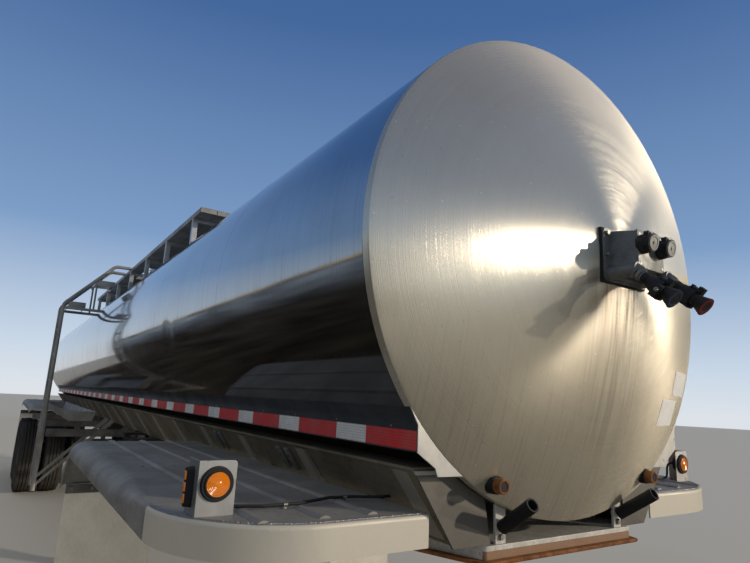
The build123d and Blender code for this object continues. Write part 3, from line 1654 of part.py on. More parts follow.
# Suspension: hanger boxes, trailing arms on pins, air springs and shock absorbers
arm_near_y = suspension_y - trailing_arm_width / 2
with BuildPart() as suspension_hangers:
    for axle_x in axle_xs:
        hanger_x = axle_x + hanger_forward
        for wall_y in (suspension_y - hanger_width / 2, suspension_y + hanger_width / 2 - hanger_wall):
            with BuildSketch(Plane.XZ.offset(-wall_y)):
                with BuildLine():
                    Polyline(
                        (hanger_x - hanger_length / 2, frame_foot_z),
                        (hanger_x + hanger_length / 2, frame_foot_z),
                        (hanger_x + hanger_foot_half, trailing_arm_pivot_z - hanger_foot_drop),
                        (hanger_x - hanger_foot_half, trailing_arm_pivot_z - hanger_foot_drop),
                        close=True,
                    )
                make_face()
            extrude(amount=-hanger_wall)
        with BuildSketch(Plane.XZ.offset(-suspension_y + hanger_width / 2)):
            with BuildLine():
                Polyline(
                    (hanger_x + hanger_length / 2, frame_foot_z),
                    (hanger_x + hanger_foot_half + hanger_cover, trailing_arm_pivot_z + hanger_cover_rise),
                    (hanger_x + hanger_foot_half, trailing_arm_pivot_z + hanger_cover_rise),
                    (hanger_x + hanger_length / 2 - hanger_cover, frame_foot_z),
                    close=True,
                )
            make_face()
        extrude(amount=-hanger_width)
        with BuildSketch(Plane.XZ.offset(-suspension_y + hanger_width / 2 + pivot_bolt_overhang)):
            with Locations((hanger_x, trailing_arm_pivot_z)):
                Circle(trailing_arm_pin_radius)
        extrude(amount=-hanger_width - 2 * pivot_bolt_overhang)
        with Locations((hanger_x, suspension_y - hanger_width / 2, frame_foot_z)):
            Box(hanger_length, hanger_width, hanger_head_thickness, align=(Align.CENTER, Align.MIN, Align.MAX))
    mirror(about=Plane.XZ)
save(suspension_hangers, "suspension_hangers")

arm_top_z = wheel_axle_z + axle_tube_radius
spring_bottom_z = wheel_axle_z + spring_seat_rise
with BuildPart() as trailing_arms:
    for axle_x in axle_xs:
        hanger_x = axle_x + hanger_forward
        spring_x = axle_x - spring_back
        with BuildSketch(Plane.XZ.offset(-arm_near_y)):
            with BuildLine():
                Polyline(
                    (hanger_x + arm_eye_reach, trailing_arm_pivot_z + arm_eye_half_height),
                    (axle_x + arm_seat_half_length, arm_top_z + trailing_arm_height),
                    (axle_x - arm_seat_half_length, arm_top_z + trailing_arm_height),
                    (spring_x + spring_radius, spring_bottom_z),
                    (spring_x - spring_radius, spring_bottom_z),
                    (spring_x - spring_radius, spring_bottom_z - arm_pad_height),
                    (spring_x + spring_radius, spring_bottom_z - arm_pad_height),
                    (axle_x - arm_seat_half_length, wheel_axle_z),
                    (axle_x + arm_seat_half_length, wheel_axle_z),
                    (hanger_x + arm_eye_reach, trailing_arm_pivot_z - arm_eye_half_height),
                    close=True,
                )
            make_face()
            with Locations((hanger_x, trailing_arm_pivot_z)):
                Circle(trailing_arm_pin_radius, mode=Mode.SUBTRACT)
            with Locations((axle_x, wheel_axle_z)):
                Circle(axle_tube_radius, mode=Mode.SUBTRACT)
        extrude(amount=-trailing_arm_width)
    mirror(about=Plane.XZ)
save(trailing_arms, "trailing_arms")

with BuildPart() as air_springs:
    for axle_x in axle_xs:
        spring_x = axle_x - spring_back
        spring_height = frame_foot_z - spring_bottom_z
        with BuildSketch(Plane.XZ.offset(-suspension_y)):
            with BuildLine():
                Polyline(
                    (spring_x, spring_bottom_z),
                    (spring_x + spring_foot_radius, spring_bottom_z),
                    (spring_x + spring_piston_radius, spring_bottom_z + spring_height * spring_piston_share),
                )
                ThreePointArc(
                    (spring_x + spring_piston_radius, spring_bottom_z + spring_height * spring_piston_share),
                    (spring_x + spring_radius, spring_bottom_z + spring_height * spring_roll_share),
                    (spring_x + spring_bellows_radius, spring_bottom_z + spring_height * spring_bellows_share),
                )
                Polyline(
                    (spring_x + spring_bellows_radius, spring_bottom_z + spring_height * spring_bellows_share),
                    (spring_x + spring_bellows_radius, frame_foot_z - spring_head_height),
                    (spring_x + spring_head_radius, frame_foot_z),
                    (spring_x, frame_foot_z),
                    (spring_x, spring_bottom_z),
                )
            make_face()
        revolve(axis=Axis((spring_x, suspension_y, 0), (0, 0, 1)))
    mirror(about=Plane.XZ)
save(air_springs, "air_springs")

# Shock absorbers lean from the arms' inner faces up to the frame's foot flanges
shock_y = arm_near_y - shock_radius
shock_lean = atan2(shock_top_forward - shock_foot_forward, frame_foot_z - wheel_axle_z - shock_foot_rise)
with BuildPart() as shock_absorbers:
    for axle_x in axle_xs:
        foot = (axle_x + shock_foot_forward, shock_y, wheel_axle_z + shock_foot_rise)
        with BuildSketch(Plane.XZ.offset(-shock_y + shock_radius)):
            with Locations((foot[0], foot[2])):
                Circle(shock_eye_radius)
        extrude(amount=-2 * shock_radius)
        shock_plane = Plane(origin=foot, x_dir=(0, 1, 0), z_dir=(sin(shock_lean), 0, cos(shock_lean)))
        with BuildSketch(shock_plane):
            Circle(shock_rod_radius)
        extrude(amount=shock_rod_length)
        with BuildSketch(shock_plane.offset(shock_rod_length)):
            Circle(shock_radius)
        extrude(amount=(frame_foot_z - foot[2]) / cos(shock_lean) - shock_rod_length + shock_radius)
        split(bisect_by=Plane.XY.offset(frame_foot_z), keep=Keep.BOTTOM)
    mirror(about=Plane.XZ)
save(shock_absorbers, "shock_absorbers")

# Twin wheels: rims, discs, hub and brake drum turn as one; each tyre is a closed ring
dual_inner_y = outer_tyre_y - dual_spacing
rim_half = rim_width / 2
well_y = rim_half - 60
tread_half = tyre_width / 2 - 26


def wheel_plane_point(radius, y):
    """Point of a wheel's section, drawn above the axle."""
    return (y, wheel_axle_z + radius)


def draw_tyre(centre_y):
    """Closed section of a tyre with a rounded sidewall and a nearly flat tread."""
    half = tyre_width / 2
    with BuildLine() as section:
        bead = rim_half - 16
        waist = (tyre_bead_radius + tyre_radius) / 2 + 6
        shoulder = tyre_radius - tyre_tread_radius_drop
        for_side = {}
        for side in (-1, 1):
            for_side[side] = (
                wheel_plane_point(rim_flange_radius + 3, centre_y + side * bead),
                wheel_plane_point(waist, centre_y + side * half),
                wheel_plane_point(shoulder, centre_y + side * tread_half),
            )
        ThreePointArc(*for_side[1])
        ThreePointArc(for_side[1][2], wheel_plane_point(tyre_radius, centre_y), for_side[-1][2])
        ThreePointArc(*for_side[-1][::-1])
        Polyline(
            for_side[-1][0],
            wheel_plane_point(tyre_bead_radius, centre_y - bead),
            wheel_plane_point(tyre_bead_radius, centre_y + bead),
            for_side[1][0],
        )
    make_face(section.edges())


def draw_rim(centre_y):
    """Closed section of a drop-centre rim, under one tyre."""
    outer = [
        (-rim_half, rim_flange_radius),
        (-rim_half + 10, rim_flange_radius),
        (-rim_half + 14, tyre_bead_radius),
        (-well_y, tyre_bead_radius - 3),
        (-well_y + 16, rim_well_radius),
        (well_y - 16, rim_well_radius),
        (well_y, tyre_bead_radius - 3),
        (rim_half - 14, tyre_bead_radius),
        (rim_half - 10, rim_flange_radius),
        (rim_half, rim_flange_radius),
    ]
    inner = [
        (rim_half, rim_flange_radius - 6),
        (rim_half - 8, tyre_bead_radius - rim_thickness),
        (well_y + 4, tyre_bead_radius - rim_thickness - 3),
        (well_y - 12, rim_well_radius - rim_thickness),
        (-well_y + 12, rim_well_radius - rim_thickness),
        (-well_y - 4, tyre_bead_radius - rim_thickness - 3),
        (-rim_half + 8, tyre_bead_radius - rim_thickness),
        (-rim_half, rim_flange_radius - 6),
    ]
    with BuildLine() as section:
        Polyline(*[wheel_plane_point(radius, centre_y + y) for y, radius in outer + inner], close=True)
    make_face(section.edges())


def draw_disc(side):
    """Section of a wheel disc, from the mounting face out to its rim's well."""
    face = wheel_disc_y
    far = wheel_disc_y + side * wheel_disc_thickness
    well_edge_y = wheel_disc_y + side * (dual_spacing / 2 - well_y + 20)
    with BuildLine() as section:
        Polyline(
            wheel_plane_point(hub_radius, face),
            wheel_plane_point(hub_radius, far),
            wheel_plane_point(wheel_disc_flat_radius, far),
            wheel_plane_point(rim_well_radius - rim_thickness, well_edge_y + side * 16),
            wheel_plane_point(rim_well_radius - 2, well_edge_y + side * 16),
            wheel_plane_point(rim_well_radius - 2, well_edge_y),
            wheel_plane_point(wheel_disc_flat_radius + 14, face),
            close=True,
        )
    make_face(section.edges())


def draw_hub():
    """Section of the hub, its flange, the cap over the spindle and the brake drum."""
    bore = spindle_radius + pin_fit
    drum_back = hub_face_y
    with BuildLine() as section:
        Polyline(
            wheel_plane_point(bore, hub_inner_y + 8),
            wheel_plane_point(hub_radius - 10, hub_inner_y + 8),
            wheel_plane_point(hub_radius - 10, drum_back - 22),
            wheel_plane_point(drum_radius - drum_wall, drum_back - 22),
            wheel_plane_point(drum_radius - drum_wall, drum_inner_y),
            wheel_plane_point(drum_radius, drum_inner_y),
            wheel_plane_point(drum_radius, drum_back - 6),
            wheel_plane_point(hub_flange_radius, drum_back),
            wheel_plane_point(hub_radius, drum_back),
            wheel_plane_point(hub_radius, hub_outer_y),
            wheel_plane_point(hub_cap_radius, hub_outer_y + 4),
            wheel_plane_point(hub_cap_radius - 4, hub_cap_y - 8),
            wheel_plane_point(hub_cap_radius - 14, hub_cap_y),
            wheel_plane_point(0, hub_cap_y),
            wheel_plane_point(0, spindle_end_y + 6),
            wheel_plane_point(bore, spindle_end_y + 6),
            close=True,
        )
    make_face(section.edges())


def build_wheel(axle_x, side):
    """Rigid part of one twin wheel, turned about its axle."""
    across = Plane(origin=(axle_x, 0, 0), x_dir=(0, side, 0), z_dir=(side, 0, 0))
    with BuildPart() as wheel:
        with BuildSketch(across):
            draw_hub()
            draw_disc(1)
            draw_disc(-1)
            draw_rim(outer_tyre_y)
            draw_rim(dual_inner_y)
        revolve(axis=Axis((axle_x, 0, wheel_axle_z), (0, 1, 0)))
        holes = Plane(
            origin=(axle_x, side * (hub_face_y - 120), wheel_axle_z), x_dir=(1, 0, 0), z_dir=(0, side, 0)
        )
        with BuildSketch(holes):
            with PolarLocations(hand_hole_circle, hand_hole_count):
                Circle(hand_hole_radius)
        extrude(amount=240, mode=Mode.SUBTRACT)
    return wheel


def build_tyres(axle_x, side):
    """The two tyres of one twin wheel."""
    across = Plane(origin=(axle_x, 0, 0), x_dir=(0, side, 0), z_dir=(side, 0, 0))
    with BuildPart() as tyres:
        with BuildSketch(across):
            draw_tyre(outer_tyre_y)
            draw_tyre(dual_inner_y)
        revolve(axis=Axis((axle_x, 0, wheel_axle_z), (0, 1, 0)))
    return tyres


wheel_places = (
    ("front_left", axle_xs[0], 1),
    ("front_right", axle_xs[0], -1),
    ("rear_left", axle_xs[1], 1),
    ("rear_right", axle_xs[1], -1),
)
for place, place_x, place_side in wheel_places:
    save(build_wheel(place_x, place_side), f"{place}_wheels")
    save(build_tyres(place_x, place_side), f"{place}_tyres")

# Rear end: frame tails, bumper, lamp bar and tail lamps
lamp_bar_rear_x = bumper_rear_x + bumper_leg_inset + bumper_leg_width
tail_bottom_z = frame_foot_z - bumper_tube
with BuildPart() as rear_bumper:
    with Locations((bumper_rear_x, 0, bumper_bottom_z)):
        Box(bumper_tube, 2 * bumper_half_width, bumper_tube, align=(Align.MIN, Align.CENTER, Align.MIN))
    for side in (-1, 1):
        with Locations((bumper_rear_x + bumper_leg_inset, side * bumper_leg_y, bumper_bottom_z + bumper_tube)):
            Box(
                bumper_leg_width,
                bumper_leg_width,
                frame_foot_z - bumper_bottom_z - bumper_tube,
                align=(Align.MIN, Align.CENTER, Align.MIN),
            )
        with Locations((bumper_rear_x + bumper_leg_inset + bumper_leg_width, side * bumper_leg_y, tail_bottom_z)):
            Box(
                frame_rear_x + bumper_arm_lap - bumper_rear_x - bumper_leg_inset - bumper_leg_width,
                bumper_leg_width,
                bumper_tube,
                align=(Align.MIN, Align.CENTER, Align.MIN),
            )
    with Locations((lamp_bar_rear_x, 0, lamp_bar_z)):
        Box(
            flap_bar_thickness,
            2 * bumper_half_width,
            lamp_bar_height,
            align=(Align.MIN, Align.CENTER, Align.MIN),
        )
save(rear_bumper, "rear_bumper")

with BuildPart() as tail_lamps:
    for lamp_y in tail_lamp_ys:
        with BuildSketch(Plane.YZ.offset(lamp_bar_rear_x)):
            with Locations((lamp_y, lamp_bar_z + lamp_bar_height / 2)):
                Circle(tail_lamp_radius)
        extrude(amount=-tail_lamp_depth, taper=tail_lamp_taper)
    mirror(about=Plane.XZ)
save(tail_lamps, "tail_lamps")

# Outlet: sump on the tank, a bend, a valve and a flanged open end at the rear
outlet_x = tank_rear_x + outlet_setback
outlet_valve_x = tank_rear_x + outlet_valve_setback
outlet_end_x = tank_rear_x - outlet_reach
sump_z = frame_foot_z - outlet_sump_drop
with BuildPart() as outlet_pipe:
    with BuildSketch(Plane.XY.offset(sump_z)):
        with Locations((outlet_x, 0)):
            Circle(outlet_sump_radius)
    extrude(amount=tank_axis_z - sump_z)
    with BuildSketch(Plane.YZ.offset(outlet_x)):
        with Locations((0, tank_axis_z)):
            Circle(tank_radius)
    extrude(amount=2 * outlet_sump_radius, both=True, mode=Mode.SUBTRACT)
    with BuildLine(Plane.XZ):
        FilletPolyline(
            (outlet_x, sump_z + outlet_pipe_lap),
            (outlet_x, outlet_axis_z),
            (outlet_end_x, outlet_axis_z),
            radius=outlet_bend_radius,
        )
    with BuildSketch(Plane.XY.offset(sump_z + outlet_pipe_lap)):
        with Locations((outlet_x, 0)):
            Circle(outlet_pipe_radius)
    sweep()
    for ring_x, ring_length, ring_radius in (
        (outlet_valve_x, outlet_valve_length, outlet_valve_radius),
        (outlet_end_x, outlet_flange_thickness, outlet_flange_radius),
    ):
        with BuildSketch(Plane.YZ.offset(ring_x)):
            with Locations((0, outlet_axis_z)):
                Circle(ring_radius)
        extrude(amount=ring_length)
    with BuildSketch(Plane.YZ.offset(outlet_end_x)):
        with Locations((0, outlet_axis_z)):
            Circle(outlet_pipe_bore_radius)
    extrude(amount=outlet_bore_depth, mode=Mode.SUBTRACT)
save(outlet_pipe, "outlet_pipe")

# Air reservoirs slung across the frame on straps
reservoir_z = frame_foot_z - reservoir_bar_thickness - reservoir_strap_thickness - reservoir_radius
reservoir_xs = [axle_xs[0] + offset for offset in reservoir_offsets]
with BuildPart() as air_reservoirs:
    for reservoir_x in reservoir_xs:
        with BuildSketch(Plane.XZ.offset(-reservoir_length / 2)):
            with Locations((reservoir_x, reservoir_z)):
                Circle(reservoir_radius)
        extrude(amount=reservoir_length)
    fillet(air_reservoirs.edges().filter_by(GeomType.CIRCLE), reservoir_end_radius)
    for reservoir_x in reservoir_xs:
        for strap_y in (-reservoir_strap_y, reservoir_strap_y):
            with BuildSketch(Plane.XZ.offset(-strap_y - reservoir_strap_width / 2)):
                with Locations((reservoir_x, reservoir_z)):
                    Circle(reservoir_radius + reservoir_strap_thickness)
                    Circle(reservoir_radius, mode=Mode.SUBTRACT)
            extrude(amount=reservoir_strap_width)
    with Locations(*[(x, 0, frame_foot_z) for x in reservoir_xs]):
        Box(
            reservoir_bar_width,
            2 * frame_foot_y - reservoir_bar_gap,
            reservoir_bar_thickness,
            align=(Align.CENTER, Align.CENTER, Align.MAX),
        )
save(air_reservoirs, "air_reservoirs")

# Vent lug on the crown
with BuildPart() as top_vent:
    for part_radius, part_z, part_height in (
        (vent_base_radius, tank_top_z - vent_root_depth, vent_base_height + vent_root_depth),
        (vent_radius, tank_top_z + vent_base_height, vent_height - vent_base_height),
    ):
        with BuildSketch(Plane.XY.offset(part_z)):
            with Locations((vent_x, 0)):
                Circle(part_radius)
        extrude(amount=part_height)
    with BuildSketch(Plane.YZ.offset(vent_x)):
        with Locations((0, tank_axis_z)):
            Circle(tank_radius)
    extrude(amount=2 * vent_base_radius, both=True, mode=Mode.SUBTRACT)
save(top_vent, "top_vent")
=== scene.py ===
import json
import logging
import random
from dataclasses import dataclass
from enum import Enum
from math import atan, atan2, cos, pi, radians, sin, sqrt, tau
from typing import Sequence, Union

import bmesh
import bpy
from mathutils import Matrix, Vector

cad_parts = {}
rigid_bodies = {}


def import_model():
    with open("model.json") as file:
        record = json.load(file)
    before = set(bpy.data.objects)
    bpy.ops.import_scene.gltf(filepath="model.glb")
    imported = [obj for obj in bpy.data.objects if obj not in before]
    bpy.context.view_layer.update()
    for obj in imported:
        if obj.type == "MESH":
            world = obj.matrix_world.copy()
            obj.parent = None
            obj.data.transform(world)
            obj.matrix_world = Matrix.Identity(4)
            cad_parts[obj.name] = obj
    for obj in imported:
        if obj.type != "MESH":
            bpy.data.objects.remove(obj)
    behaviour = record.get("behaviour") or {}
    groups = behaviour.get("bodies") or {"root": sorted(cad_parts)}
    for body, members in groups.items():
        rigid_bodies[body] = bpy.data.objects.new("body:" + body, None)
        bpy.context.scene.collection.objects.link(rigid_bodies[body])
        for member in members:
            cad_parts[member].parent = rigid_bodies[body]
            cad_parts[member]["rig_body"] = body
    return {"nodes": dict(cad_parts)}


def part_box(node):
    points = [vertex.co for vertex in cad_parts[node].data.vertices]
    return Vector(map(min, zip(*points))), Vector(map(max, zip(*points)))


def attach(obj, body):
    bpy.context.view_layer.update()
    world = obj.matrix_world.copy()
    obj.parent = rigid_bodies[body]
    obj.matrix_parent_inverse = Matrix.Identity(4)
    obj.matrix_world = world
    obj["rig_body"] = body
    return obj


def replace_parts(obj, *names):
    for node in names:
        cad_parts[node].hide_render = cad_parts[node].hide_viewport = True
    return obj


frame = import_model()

logging.basicConfig(level=logging.INFO, format="%(name)s: %(message)s")
LOG = logging.getLogger("tank_trailer")
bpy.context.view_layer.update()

# Places and lengths in metres, and directions, that several sub-assemblies share
TANK_AXIS_Z = 2.12
AXLE_XS = (-3.4, -4.65)
AXLE_Z = 0.522
TAPE_RED, TAPE_WHITE = 0.2794, 0.1778
AHEAD, BACK, LEFT, RIGHT, UP, DOWN = (1, 0, 0), (-1, 0, 0), (0, 1, 0), (0, -1, 0), (0, 0, 1), (0, 0, -1)

Pair = tuple[float, float]
Triple = tuple[float, float, float]
Point = Sequence[float]
Profile = Sequence[Pair]
Tree = bpy.types.NodeTree
Node = bpy.types.Node
Socket = bpy.types.NodeSocket
Colour = Union[tuple[float, float, float, float], Node, Socket]


class Slot(Enum):
    """Material slots of the record, one carried by each finish."""

    POLISHED = "polished_stainless"
    BRUSHED = "brushed_stainless"
    BRIGHT = "bright_aluminium"
    GREY = "grey_aluminium"
    FRAME = "frame_metal"
    RAIL = "dark_rail"
    RUST = "rusty_steel"
    BLACK = "black_steel"
    CAST = "cast_metal"
    CASTING = "grey_casting"
    RUBBER = "rubber"
    TYRE = "tyre"
    WHEEL = "wheel_metal"
    AMBER = "amber_lens"
    RED = "red_lens"
    FLAP = "white_flap"


class Body(Enum):
    """Moving bodies of the trailer."""

    TRAILER = "trailer"
    LID = "manhole_lid"
    FRONT_LEFT = "front_left_wheel"
    FRONT_RIGHT = "front_right_wheel"
    REAR_LEFT = "rear_left_wheel"
    REAR_RIGHT = "rear_right_wheel"


def linear(hex_code: str) -> tuple[float, float, float, float]:
    """Turns an sRGB hex colour to the linear values that Blender takes.

    Args:
        hex_code: Six hex digits, with or without a leading #.

    Returns:
        Red, green, blue and an alpha of 1.
    """
    digits = hex_code.lstrip("#")
    channels = [int(digits[i:i + 2], 16) / 255 for i in (0, 2, 4)]
    mapped = [c / 12.92 if c <= 0.04045 else ((c + 0.055) / 1.055) ** 2.4 for c in channels]
    return (mapped[0], mapped[1], mapped[2], 1.0)


def feed(tree: Tree, node: Node, inputs: dict) -> None:
    """Sets or links a node's inputs.

    Args:
        tree: The node's tree.
        node: The node.
        inputs: Input name or number to a value, to a socket to link from, or to a node for its first output.
    """
    for key, value in inputs.items():
        source = value.outputs[0] if isinstance(value, Node) else value
        if isinstance(source, Socket):
            tree.links.new(source, node.inputs[key])
        else:
            node.inputs[key].default_value = source


def add(tree: Tree, kind: str, inputs: Union[dict, None] = None, **settings: object) -> Node:
    """Adds a node with its settings, values and links.

    Args:
        tree: Node tree to add to.
        kind: The node's type name without its ShaderNode prefix.
        inputs: What feeds its inputs, as for feed().
        settings: Node properties; stops is a list of (place, colour) for a colour ramp.

    Returns:
        The new node.
    """
    made = tree.nodes.new("ShaderNode" + kind)
    for name, value in settings.items():
        if name == "stops":
            elements = made.color_ramp.elements
            while len(elements) < len(value):
                elements.new(1.0)
            for element, (place, colour) in zip(elements, value):
                element.position = place
                element.color = colour
        else:
            setattr(made, name, value)
    feed(tree, made, inputs or {})
    return made


def cleared(holder: Union[bpy.types.Material, bpy.types.World]) -> Tree:
    """Gives a new material or world an empty node tree.

    Args:
        holder: The material or world.

    Returns:
        Its node tree.
    """
    holder.use_nodes = True
    holder.node_tree.nodes.clear()
    return holder.node_tree


def layered(tree: Tree, colour: Colour, films: Sequence[tuple[Node, Colour]]) -> Colour:
    """Lays thin films over a colour, one after another.

    Args:
        tree: Node tree to add to.
        colour: The colour below them.
        films: The share and the colour of each film.

    Returns:
        The colour with its films.
    """
    for share, film in films:
        colour = add(tree, "Mix", {0: share, 6: colour, 7: film}, data_type="RGBA").outputs[2]
    return colour


def between(tree: Tree, value: Socket, low: float, high: float) -> Node:
    """Marks where a value lies between two limits.

    Args:
        tree: Node tree to add to.
        value: The value's socket.
        low: Lower limit.
        high: Upper limit.

    Returns:
        A node that gives 1 between the limits and 0 outside them.
    """
    over = add(tree, "Math", {0: value, 1: low}, operation="GREATER_THAN")
    under = add(tree, "Math", {0: value, 1: high}, operation="LESS_THAN")
    return add(tree, "Math", {0: over, 1: under}, operation="MULTIPLY")


@dataclass(frozen=True)
class Finish:
    """A surface finish: a plain colour and gloss, which each kind of finish adds its pattern to."""

    name: str
    slot: Slot
    base: str
    metallic: float = 0.0
    roughness: float = 0.5
    coat: float = 0.0
    mottle_mm: float = 11.11

    def material(self) -> bpy.types.Material:
        """Makes the material once and returns it after that.

        Returns:
            The Blender material of this finish.
        """
        found = bpy.data.materials.get(self.name)
        if found:
            return found
        made = bpy.data.materials.new(self.name)
        tree = cleared(made)
        shader = add(tree, "BsdfPrincipled", {
            "Base Color": linear(self.base), "Metallic": self.metallic,
            "Roughness": self.roughness, "Coat Weight": self.coat, "Coat Roughness": 0.08})
        add(tree, "OutputMaterial", {"Surface": shader})
        self.pattern(tree, shader, add(tree, "TexCoord").outputs["Object"])
        made.diffuse_color = linear(self.base)
        return made

    def pattern(self, tree: Tree, shader: Node, place: Socket) -> None:
        """Adds a fine mottle to the roughness, for finishes that have no pattern of their own.

        Args:
            tree: The material's node tree.
            shader: Its surface shader.
            place: Object coordinates in metres.
        """
        fine = add(tree, "TexNoise", {"Vector": place, "Scale": 1000 / self.mottle_mm, "Detail": 3.0})
        rough = add(tree, "MapRange", {
            "Value": fine, "To Min": self.roughness * 0.8, "To Max": min(1.0, self.roughness * 1.25)})
        feed(tree, shader, {"Roughness": rough})


@dataclass(frozen=True)
class WornFinish(Finish):
    """A surface with tonal patches, a directional grain, settled dust on top and splashed dirt low down."""

    tone: str = "#808080"
    dust: str = "#8C8577"
    patch_mm: float = 160.0
    patch_share: float = 0.6
    grain_mm: Triple = (4.0, 4.0, 4.0)
    grain_depth_mm: float = 0.08
    grain_tone: float = 0.15
    roughness_high: float = 0.7
    dust_on_top: float = 0.35
    splash_height: float = 0.0
    splash: float = 0.0
    drift_mm: float = 71.43
    speck_mm: float = 0.0
    speck: str = "#4A3A2A"

    def pattern(self, tree: Tree, shader: Node, place: Socket) -> None:
        """Adds patches, grain, dust, splashes and specks.

        Args:
            tree: The material's node tree.
            shader: Its surface shader.
            place: Object coordinates in metres.
        """
        patches = add(tree, "TexNoise", {
            "Vector": place, "Scale": 1000 / self.patch_mm, "Detail": 6.0, "Roughness": 0.62})
        stretched = add(tree, "Mapping", {"Vector": place, "Scale": [1000 / mm for mm in self.grain_mm]})
        grain = add(tree, "TexNoise", {"Vector": stretched, "Scale": 1.0, "Detail": 4.0, "Roughness": 0.55})
        drift = add(tree, "TexNoise", {
            "Vector": place, "Scale": 1000 / self.drift_mm, "Detail": 5.0, "Roughness": 0.7})
        facing = add(tree, "SeparateXYZ", {0: add(tree, "NewGeometry").outputs["Normal"]}).outputs["Z"]
        height = add(tree, "SeparateXYZ", {0: place}).outputs["Z"]
        share = {name: add(tree, "MapRange", {
            "Value": value, "From Min": low, "From Max": high, "To Min": first, "To Max": last,
        }) for name, value, low, high, first, last in (
            ("patch", patches, 0.36, 0.66, 0.0, self.patch_share),
            ("grain", grain, 0.3, 0.7, 1.0 - self.grain_tone, 1.0 + self.grain_tone),
            ("settled", facing, 0.15, 0.95, 0.0, self.dust_on_top),
            ("splashed", height, 0.0, max(self.splash_height, 0.01), self.splash, 0.0),
            ("broken", drift, 0.3, 0.62, 0.35, 1.0),
            ("rough", patches, 0.3, 0.7, self.roughness, self.roughness_high),
        )}
        colour = layered(tree, linear(self.base), [(share["patch"], linear(self.tone))])
        colour = add(tree, "VectorMath", {0: colour, "Scale": share["grain"]}, operation="SCALE")
        film = add(tree, "Math", {0: share["settled"], 1: share["splashed"]}, operation="MAXIMUM")
        film = add(tree, "Math", {0: film, 1: share["broken"]}, operation="MULTIPLY")
        films = [(film, linear(self.dust))]
        if self.speck_mm:
            specks = add(tree, "TexVoronoi", {"Vector": place, "Scale": 1000 / self.speck_mm})
            spot = add(tree, "MapRange", {
                "Value": specks.outputs["Distance"], "From Min": 0.05, "From Max": 0.16,
                "To Min": 0.45, "To Max": 0.0})
            films.append((spot, linear(self.speck)))
        rough = add(tree, "Mix", {0: film, 2: share["rough"], 3: 0.9}, data_type="FLOAT")
        bump = add(tree, "Bump", {"Height": grain, "Distance": self.grain_depth_mm / 1000, "Strength": 1.0})
        feed(tree, shader, {"Base Color": layered(tree, colour, films), "Roughness": rough, "Normal": bump})


@dataclass(frozen=True)
class PolishedJacket(Finish):
    """Polished stainless sheet: it bends a little between its seams, and rain has left fine runs on it."""

    wave_mm: float = 850.0
    wave_depth_mm: float = 0.5
    ripple_mm: float = 90.91
    ripple_depth_mm: float = 0.06
    run_width_mm: float = 9.0
    run_length_mm: float = 900.0
    run_heights: Pair = (1.3, 2.5)
    haze_mm: float = 454.5
    haze: str = "#8F8A80"
    # Darker towards the bottom: this tint is full below the first of the heights under it and gone above the second
    lower_tint: str = "#77736D"
    lower_tint_heights: Pair = (1.75, 2.3)
    dent: Triple = (3.73, -0.8, 1.96)
    dent_radius: float = 0.17
    dent_floor: float = 0.02
    dent_depth_mm: float = 2.0

    def pattern(self, tree: Tree, shader: Node, place: Socket) -> None:
        """Adds the sheet's waves and one dent, the runs, a darker tint towards the bottom and a thin haze.

        Args:
            tree: The material's node tree.
            shader: Its surface shader.
            place: Object coordinates in metres.
        """
        wide = add(tree, "TexNoise", {"Vector": place, "Scale": 1000 / self.wave_mm, "Detail": 1.0})
        small = add(tree, "TexNoise", {"Vector": place, "Scale": 1000 / self.ripple_mm, "Detail": 1.0})
        down = add(tree, "Mapping", {
            "Vector": place,
            "Scale": (1000 / self.run_width_mm, 1000 / self.run_length_mm, 1000 / self.run_length_mm)})
        runs = add(tree, "TexNoise", {"Vector": down, "Scale": 1.0, "Detail": 5.0, "Roughness": 0.65})
        cloud = add(tree, "TexNoise", {
            "Vector": place, "Scale": 1000 / self.haze_mm, "Detail": 6.0, "Roughness": 0.6})
        away = add(tree, "VectorMath", {0: place, 1: self.dent}, operation="DISTANCE").outputs["Value"]
        height = add(tree, "SeparateXYZ", {0: place}).outputs["Z"]
        share = {name: add(tree, "MapRange", {
            "Value": value, "From Min": low, "From Max": high, "To Min": first, "To Max": last,
        }, interpolation_type=way) for name, value, (low, high), first, last, way in (
            ("hollow", away, (self.dent_radius, self.dent_floor), 1.0, 0.0, "SMOOTHERSTEP"),
            ("run", runs, (0.5, 0.78), 0.0, 1.0, "LINEAR"), ("low", height, self.run_heights, 1.0, 0.3, "LINEAR"),
            ("cloud", cloud, (0.4, 0.75), 0.0, 0.3, "LINEAR"),
            ("tinted_low", height, self.lower_tint_heights, 0.85, 0.0, "SMOOTHSTEP"),
        )}
        marks = add(tree, "Math", {0: share["run"], 1: share["low"]}, operation="MULTIPLY")
        film = add(tree, "Math", {0: marks, 1: share["cloud"]}, operation="ADD", use_clamp=True)
        colour = layered(tree, linear(self.base), [
            (share["tinted_low"], linear(self.lower_tint)), (film, linear(self.haze))])
        rough = add(tree, "MapRange", {"Value": film, "To Min": self.roughness, "To Max": self.roughness + 0.2})
        bump = None
        for relief, depth_mm in (
            (wide, self.wave_depth_mm), (small, self.ripple_depth_mm), (share["hollow"], self.dent_depth_mm),
        ):
            below = {"Normal": bump} if bump else {}
            bump = add(tree, "Bump", {"Height": relief, "Distance": depth_mm / 1000, "Strength": 1.0, **below})
        feed(tree, shader, {"Base Color": colour, "Roughness": rough, "Normal": bump})


